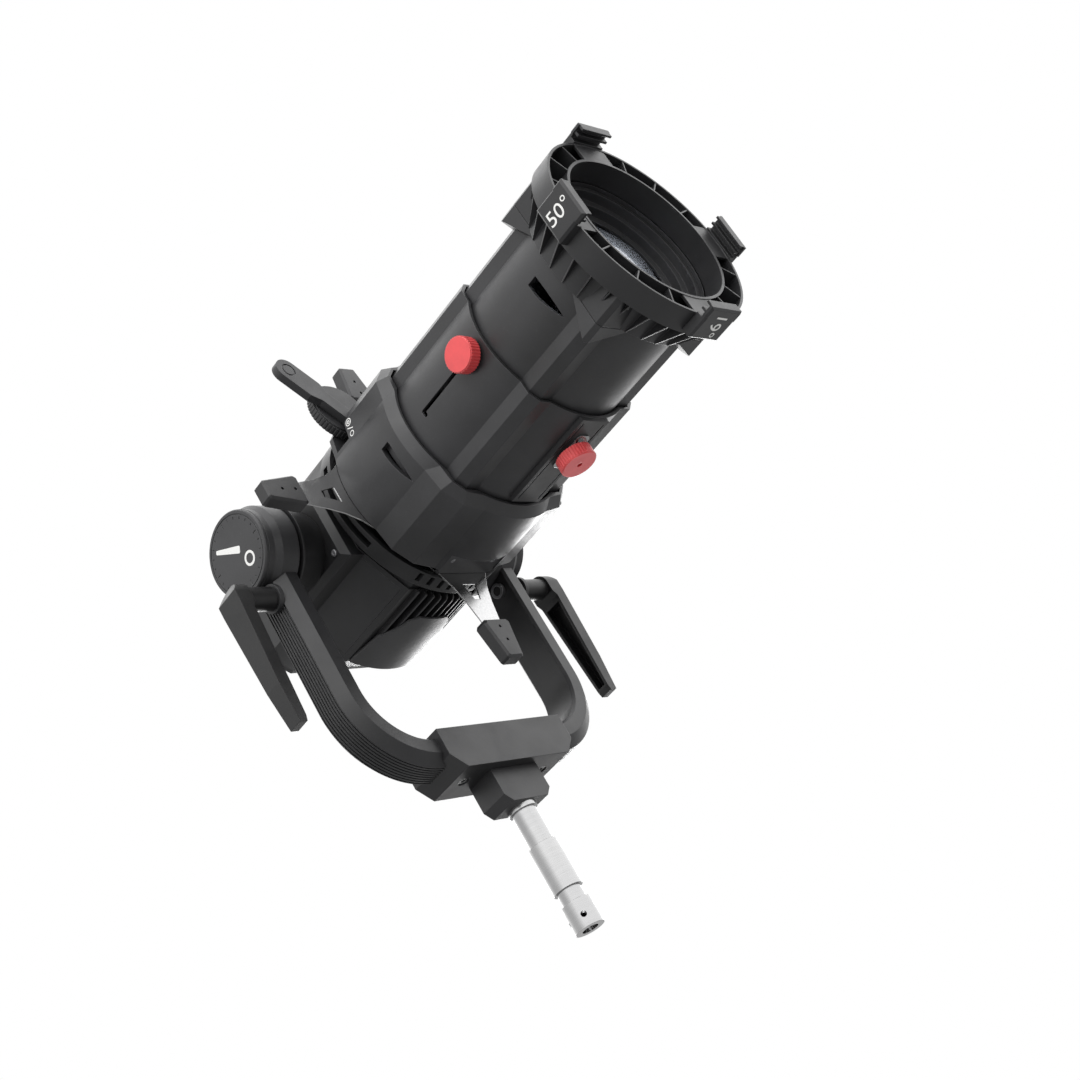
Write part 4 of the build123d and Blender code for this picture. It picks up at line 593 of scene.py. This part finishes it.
# ---------------------------------------------------------------- operators
class SPOTLIGHT_OT_finishes(bpy.types.Operator):
    """Makes every finish and gives each part of the frame its own"""
    bl_idname = "spotlight.finishes"
    bl_label = "Finishes"

    def execute(self, context):
        finishes = make_finishes()
        printed_ink("marking_ink")
        display_glass("display_glass")
        for node, slot in SLOT_OF_NODE.items():
            for holder in frame["nodes"][node].material_slots:
                holder.material = finishes[slot]
        return {"FINISHED"}


class SPOTLIGHT_OT_badge_numbers(bpy.types.Operator):
    """Prints the beam angle on the four accessory clips"""
    bl_idname = "spotlight.badge_numbers"
    bl_label = "Badge numbers"

    def execute(self, context):
        size = context.scene.spotlight_sizes.number_height
        y = low("accessory_clips").y + BADGE_FROM_CLIP_FRONT
        reach = high("accessory_clips").x
        lift = context.scene.spotlight_sizes.print_thickness / 2
        for name, words, degrees, upward in (
                ("left", "50°", 180, (0, 0, 1)), ("right", "50°", 0, (0, 0, 1)),
                ("bottom", "19°", 270, (1, 0, 0)), ("top", "19°", 90, (1, 0, 0))):
            outward = Vector((cos(radians(degrees)), 0, sin(radians(degrees))))
            origin = around_beam(reach + lift, degrees, y)
            number = printed_text("badge_number_" + name, words, size, facing(origin, outward, upward))
            settled(number, "barrel", "marking_ink")
        return {"FINISHED"}


class SPOTLIGHT_OT_cap_marks(bpy.types.Operator):
    """Prints a plain tilt index and a ring on both hub caps"""
    bl_idname = "spotlight.cap_marks"
    bl_label = "Hub cap marks"

    def execute(self, context):
        face = high("hub_caps").x - PIVOT.x
        for side, sign in (("left", -1), ("right", 1)):
            outward = (sign, 0, 0)
            place = facing(PIVOT + Vector((sign * face, *CAP_INDEX_PLACE)), outward, (0, 0.55, -0.84))
            index = printed_bar("cap_index_" + side, CAP_INDEX_LENGTH, CAP_INDEX_WIDTH, place,
                                CAP_INDEX_POINT)
            settled(index, "yoke", "marking_ink")
            place = facing(PIVOT + Vector((sign * face, *CAP_RING_PLACE)), outward, (0, 0, 1))
            ring = printed_ring("cap_ring_" + side, CAP_RING_OUTER_R, CAP_RING_INNER_R, place)
            settled(ring, "yoke", "marking_ink")
        return {"FINISHED"}


class SPOTLIGHT_OT_slot_marks(bpy.types.Operator):
    """Prints small plain symbols by the iris lever's slot"""
    bl_idname = "spotlight.slot_marks"
    bl_label = "Slot marks"

    def execute(self, context):
        lift = context.scene.spotlight_sizes.print_thickness / 2
        outward = Vector((cos(radians(FACET_DEG)), 0, sin(radians(FACET_DEG))))
        along = Vector((0, -1, 0))
        across = outward.cross(along)
        centre = (PIVOT + outward * (FACET_REACH + lift) + across * FACET_MARK_RISE
                  + Vector((0, FACET_MARK_Y, 0)))
        ring = printed_ring("iris_mark_ring", 0.0040, 0.0031, facing(centre, outward, along))
        dot = printed_ring("iris_mark_dot", 0.0019, 0.0009, facing(centre, outward, along))
        below = facing(centre - across * FACET_BAR_DROP, outward, across + along * 0.6)
        bar = printed_bar("iris_mark_bar", 0.0085, 0.0010, below)
        lowest = facing(centre - across * FACET_SMALL_RING_DROP, outward, along)
        small = printed_ring("wheel_mark_ring", 0.0030, 0.0022, lowest)
        for mark in (ring, dot, bar, small):
            settled(mark, "head", "marking_ink")
        return {"FINISHED"}


class SPOTLIGHT_OT_cover_screws(bpy.types.Operator):
    """Sets socket screws in the slot covers, the trunnion blocks and the rear cover"""
    bl_idname = "spotlight.cover_screws"
    bl_label = "Screws"

    def execute(self, context):
        sizes = context.scene.spotlight_sizes
        sides = (("left", -1), ("right", 1))
        small = socket_screw("screw_small", sizes.cover_screw_radius, COVER_SCREW_HEIGHT)
        box_low, box_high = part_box("gate_covers")
        y = box_low.y + COVER_SCREW_INSET
        for name, z, up in (("bottom", box_low.z + COVER_SCREW_SINK, -1),
                            ("top", box_high.z - COVER_SCREW_SINK, 1)):
            for side, sign in sides:
                x = sign * (COVER_HALF_WIDTHS[name] - COVER_SCREW_INSET)
                place = facing((x, y, z), (0, 0, up), (0, 1, 0))
                settled(copied(small, f"cover_screw_{name}_{side}", place), "head", "nut_steel", 35)
        large = socket_screw("screw_large", sizes.rear_screw_radius, PANEL_SCREW_HEIGHT)
        back = high("rear_cover").y
        for i, (x, z) in enumerate(((-1, 1), (1, 1), (-1, -1), (1, -1))):
            place = facing((x * REAR_SCREW_X, back, PIVOT.z + z * REAR_SCREW_Z), (0, 1, 0), (0, 0, 1))
            settled(copied(large, f"rear_screw_{i + 1}", place), "head", "nut_steel", 35)
        reach = high("trunnion_blocks").x
        for side, sign in sides:
            for i, y in enumerate((-BLOCK_SCREW_Y, BLOCK_SCREW_Y)):
                for j, z in enumerate((-BLOCK_SCREW_Z, BLOCK_SCREW_Z)):
                    place = facing((sign * reach, y, PIVOT.z + z), (sign, 0, 0), (0, 0, 1))
                    settled(copied(large, f"block_screw_{side}_{i}{j}", place), "head", "nut_steel", 35)
        discard(small)
        discard(large)
        return {"FINISHED"}


class SPOTLIGHT_OT_rear_display(bpy.types.Operator):
    """Builds the display window, its two buttons and the dial's pointer on the rear cover"""
    bl_idname = "spotlight.rear_display"
    bl_label = "Rear display"

    def execute(self, context):
        length = context.scene.spotlight_sizes.display_length
        floor_y = high("rear_cover").y - DISPLAY_SINK
        centre = Vector((DISPLAY_X, floor_y, PIVOT.z + DISPLAY_Z))
        bpy.ops.object.select_all(action="DESELECT")
        bpy.ops.mesh.primitive_cube_add(size=1.0)
        window = bpy.context.active_object
        window.name = "rear_display_window"
        move_into_mesh(window, Matrix.Diagonal((length, DISPLAY_HEIGHT, DISPLAY_THICKNESS, 1.0)))
        in_edit(window, lambda centre, normal: normal.z > 0.9)
        bpy.ops.mesh.inset(thickness=0.0018, depth=0)
        bpy.ops.mesh.extrude_region_move(TRANSFORM_OT_translate={"value": (0, 0, -0.0004)})
        leave_edit()
        apply_modifier(window, "BEVEL", width=0.0004, segments=2, limit_method="ANGLE")
        move_into_mesh(window, facing(centre + Vector((0, DISPLAY_THICKNESS / 2, 0)), (0, 1, 0), (0, 0, 1)))
        settled(window, "head", "display_glass", 35)
        button = socket_screw("button", 0.0036, 0.0016)
        for i, z in enumerate(BUTTON_ZS):
            place = facing((BUTTON_X, floor_y, PIVOT.z + z), (0, 1, 0), (0, 0, 1))
            settled(copied(button, f"rear_button_{i + 1}", place), "head", "grip_plastic", 35)
        discard(button)
        knob_low, knob_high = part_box("control_knob")
        middle = (knob_low + knob_high) / 2
        place = facing((middle.x, knob_high.y - 0.00013, middle.z + 0.0055), (0, 1, 0), (1, 0, 0))
        settled(printed_bar("dial_pointer", 0.0070, 0.0012, place), "dial", "marking_ink")
        return {"FINISHED"}


class SPOTLIGHT_OT_inlet_contacts(bpy.types.Operator):
    """Stands three round-ended contacts in the power inlet"""
    bl_idname = "spotlight.inlet_contacts"
    bl_label = "Inlet contacts"

    def execute(self, context):
        inlet_low, inlet_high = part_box("power_inlet")
        centre = (inlet_low + inlet_high) / 2
        seat = inlet_high.y - CONTACT_SEAT
        bpy.ops.object.select_all(action="DESELECT")
        bpy.ops.mesh.primitive_cylinder_add(vertices=24, radius=0.0010, depth=0.0060,
                                            location=(0, 0, 0.0030))
        pin = bpy.context.active_object
        move_into_mesh(pin, pin.matrix_world.copy())
        in_edit(pin, lambda middle, normal: normal.z > 0.9)
        bpy.ops.mesh.extrude_region_move(TRANSFORM_OT_translate={"value": (0, 0, 0.0007)})
        bpy.ops.transform.resize(value=(0.45, 0.45, 1.0))
        leave_edit()
        apply_modifier(pin, "BEVEL", width=0.0002, segments=2, limit_method="ANGLE")
        for i, degrees in enumerate((90, 210, 330)):
            offset = CONTACT_CIRCLE_R * Vector((cos(radians(degrees)), 0, sin(radians(degrees))))
            place = facing(Vector((centre.x, seat, centre.z)) + offset, (0, 1, 0), (0, 0, 1))
            settled(copied(pin, f"inlet_contact_{i + 1}", place), "head", "bright_steel", 35)
        discard(pin)
        return {"FINISHED"}


class SPOTLIGHT_OT_stage(bpy.types.Operator):
    """Sets up the camera, the pale floor and the soft studio light"""
    bl_idname = "spotlight.stage"
    bl_label = "Stage"

    def execute(self, context):
        scene = context.scene
        choice = scene.spotlight_stage
        bpy.ops.object.select_all(action="DESELECT")
        lens = bpy.data.cameras.new("camera")
        lens.lens = CAMERA_LENS
        lens.sensor_width = 36
        camera = bpy.data.objects.new("camera", lens)
        scene.collection.objects.link(camera)
        swing = Vector(CAMERA_SWING)
        turn = Matrix.Rotation(swing.length, 3, swing.normalized()).transposed().to_4x4()
        camera.matrix_world = Matrix.Translation(Vector((0, 0, PIVOT.z)) + Vector(CAMERA_PLACE)) @ turn
        scene.camera = camera
        bpy.ops.mesh.primitive_plane_add(size=choice.floor_size, location=(0, 0, -choice.floor_drop))
        floor = bpy.context.active_object
        floor.name = "floor"
        material, tree, shader = new_finish("floor_pale")
        patch = blended(tree, ranged(tree, noise(tree, 2.0, 4.0), 0.0, 1.0), (0.86, 0.86, 0.86),
                        (0.90, 0.90, 0.89))
        tree.links.new(patch, shader.inputs["Base Color"])
        shader.inputs["Roughness"].default_value = 0.7
        floor.data.materials.append(material)
        floor.visible_diffuse = False
        floor.visible_glossy = False
        self.light_world(scene, choice)
        self.soft_box(scene, "key_light", KEY_LIGHT_PLACE, KEY_LIGHT_SIZE, choice.key_power)
        self.soft_box(scene, "rear_light", REAR_LIGHT_PLACE, REAR_LIGHT_SIZE,
                      choice.key_power * REAR_LIGHT_SHARE)
        scene.view_settings.view_transform = "Standard"
        return {"FINISHED"}

    def light_world(self, scene, choice):
        world = bpy.data.worlds.new("studio")
        scene.world = world
        world.use_nodes = True
        tree = world.node_tree
        shown = tree.nodes["Background"]
        shown.inputs["Color"].default_value = (1, 1, 1, 1)
        shown.inputs["Strength"].default_value = 1.0
        direction = put(tree, "ShaderNodeTexCoord").outputs["Generated"]
        height = put(tree, "ShaderNodeSeparateXYZ", [("Vector", direction)]).outputs["Z"]
        sky = ranged(tree, height, choice.low_light, choice.sky_light, *SKY_BAND)
        toward = put(tree, "ShaderNodeVectorMath", [("Vector", direction)])
        toward.operation = "DOT_PRODUCT"
        toward.inputs[1].default_value = FLAG_DIRECTION
        flag = ranged(tree, toward.outputs["Value"], 1.0, choice.flag_share, *FLAG_BAND)
        strength = calculated(tree, "MULTIPLY", sky, flag)
        lighting = put(tree, "ShaderNodeBackground", [("Strength", strength)])
        lighting.inputs["Color"].default_value = (1, 1, 1, 1)
        seen = put(tree, "ShaderNodeLightPath").outputs["Is Camera Ray"]
        both = put(tree, "ShaderNodeMixShader", [("Fac", seen)])
        tree.links.new(lighting.outputs["Background"], both.inputs[1])
        tree.links.new(shown.outputs["Background"], both.inputs[2])
        tree.links.new(both.outputs["Shader"], tree.nodes["World Output"].inputs["Surface"])

    def soft_box(self, scene, name, place, size, power):
        light = bpy.data.lights.new(name, "AREA")
        light.shape = "RECTANGLE"
        light.size, light.size_y = size
        light.energy = power
        lamp = bpy.data.objects.new(name, light)
        scene.collection.objects.link(lamp)
        spot = PIVOT + Vector(place)
        lamp.location = spot
        lamp.rotation_euler = (PIVOT - spot).to_track_quat("-Z", "Y").to_euler()


STEPS = (
    SPOTLIGHT_OT_finishes,
    SPOTLIGHT_OT_badge_numbers,
    SPOTLIGHT_OT_cap_marks,
    SPOTLIGHT_OT_slot_marks,
    SPOTLIGHT_OT_cover_screws,
    SPOTLIGHT_OT_rear_display,
    SPOTLIGHT_OT_inlet_contacts,
    SPOTLIGHT_OT_stage,
)


class SPOTLIGHT_PT_sidebar(bpy.types.Panel):
    """Lists the steps and the settings of the spotlight"""
    bl_label = "Spotlight"
    bl_idname = "SPOTLIGHT_PT_sidebar"
    bl_space_type = "VIEW_3D"
    bl_region_type = "UI"
    bl_category = "Spotlight"

    def draw(self, context):
        layout = self.layout
        for step in STEPS:
            layout.operator(step.bl_idname)
        for group in (context.scene.spotlight_finish, context.scene.spotlight_sizes,
                      context.scene.spotlight_stage):
            box = layout.box()
            for name in type(group).__annotations__:
                box.prop(group, name)


CLASSES = (SpotlightFinish, SpotlightSizes, SpotlightStage, *STEPS, SPOTLIGHT_PT_sidebar)


def register():
    for item in CLASSES:
        bpy.utils.register_class(item)
    bpy.types.Scene.spotlight_finish = bpy.props.PointerProperty(type=SpotlightFinish)
    bpy.types.Scene.spotlight_sizes = bpy.props.PointerProperty(type=SpotlightSizes)
    bpy.types.Scene.spotlight_stage = bpy.props.PointerProperty(type=SpotlightStage)


def unregister():
    del bpy.types.Scene.spotlight_stage
    del bpy.types.Scene.spotlight_sizes
    del bpy.types.Scene.spotlight_finish
    for item in reversed(CLASSES):
        bpy.utils.unregister_class(item)


def main():
    register()
    for step in STEPS:
        family, name = step.bl_idname.split(".")
        getattr(getattr(bpy.ops, family), name)()
    bpy.ops.object.select_all(action="DESELECT")


if __name__ == "__main__":
    main()
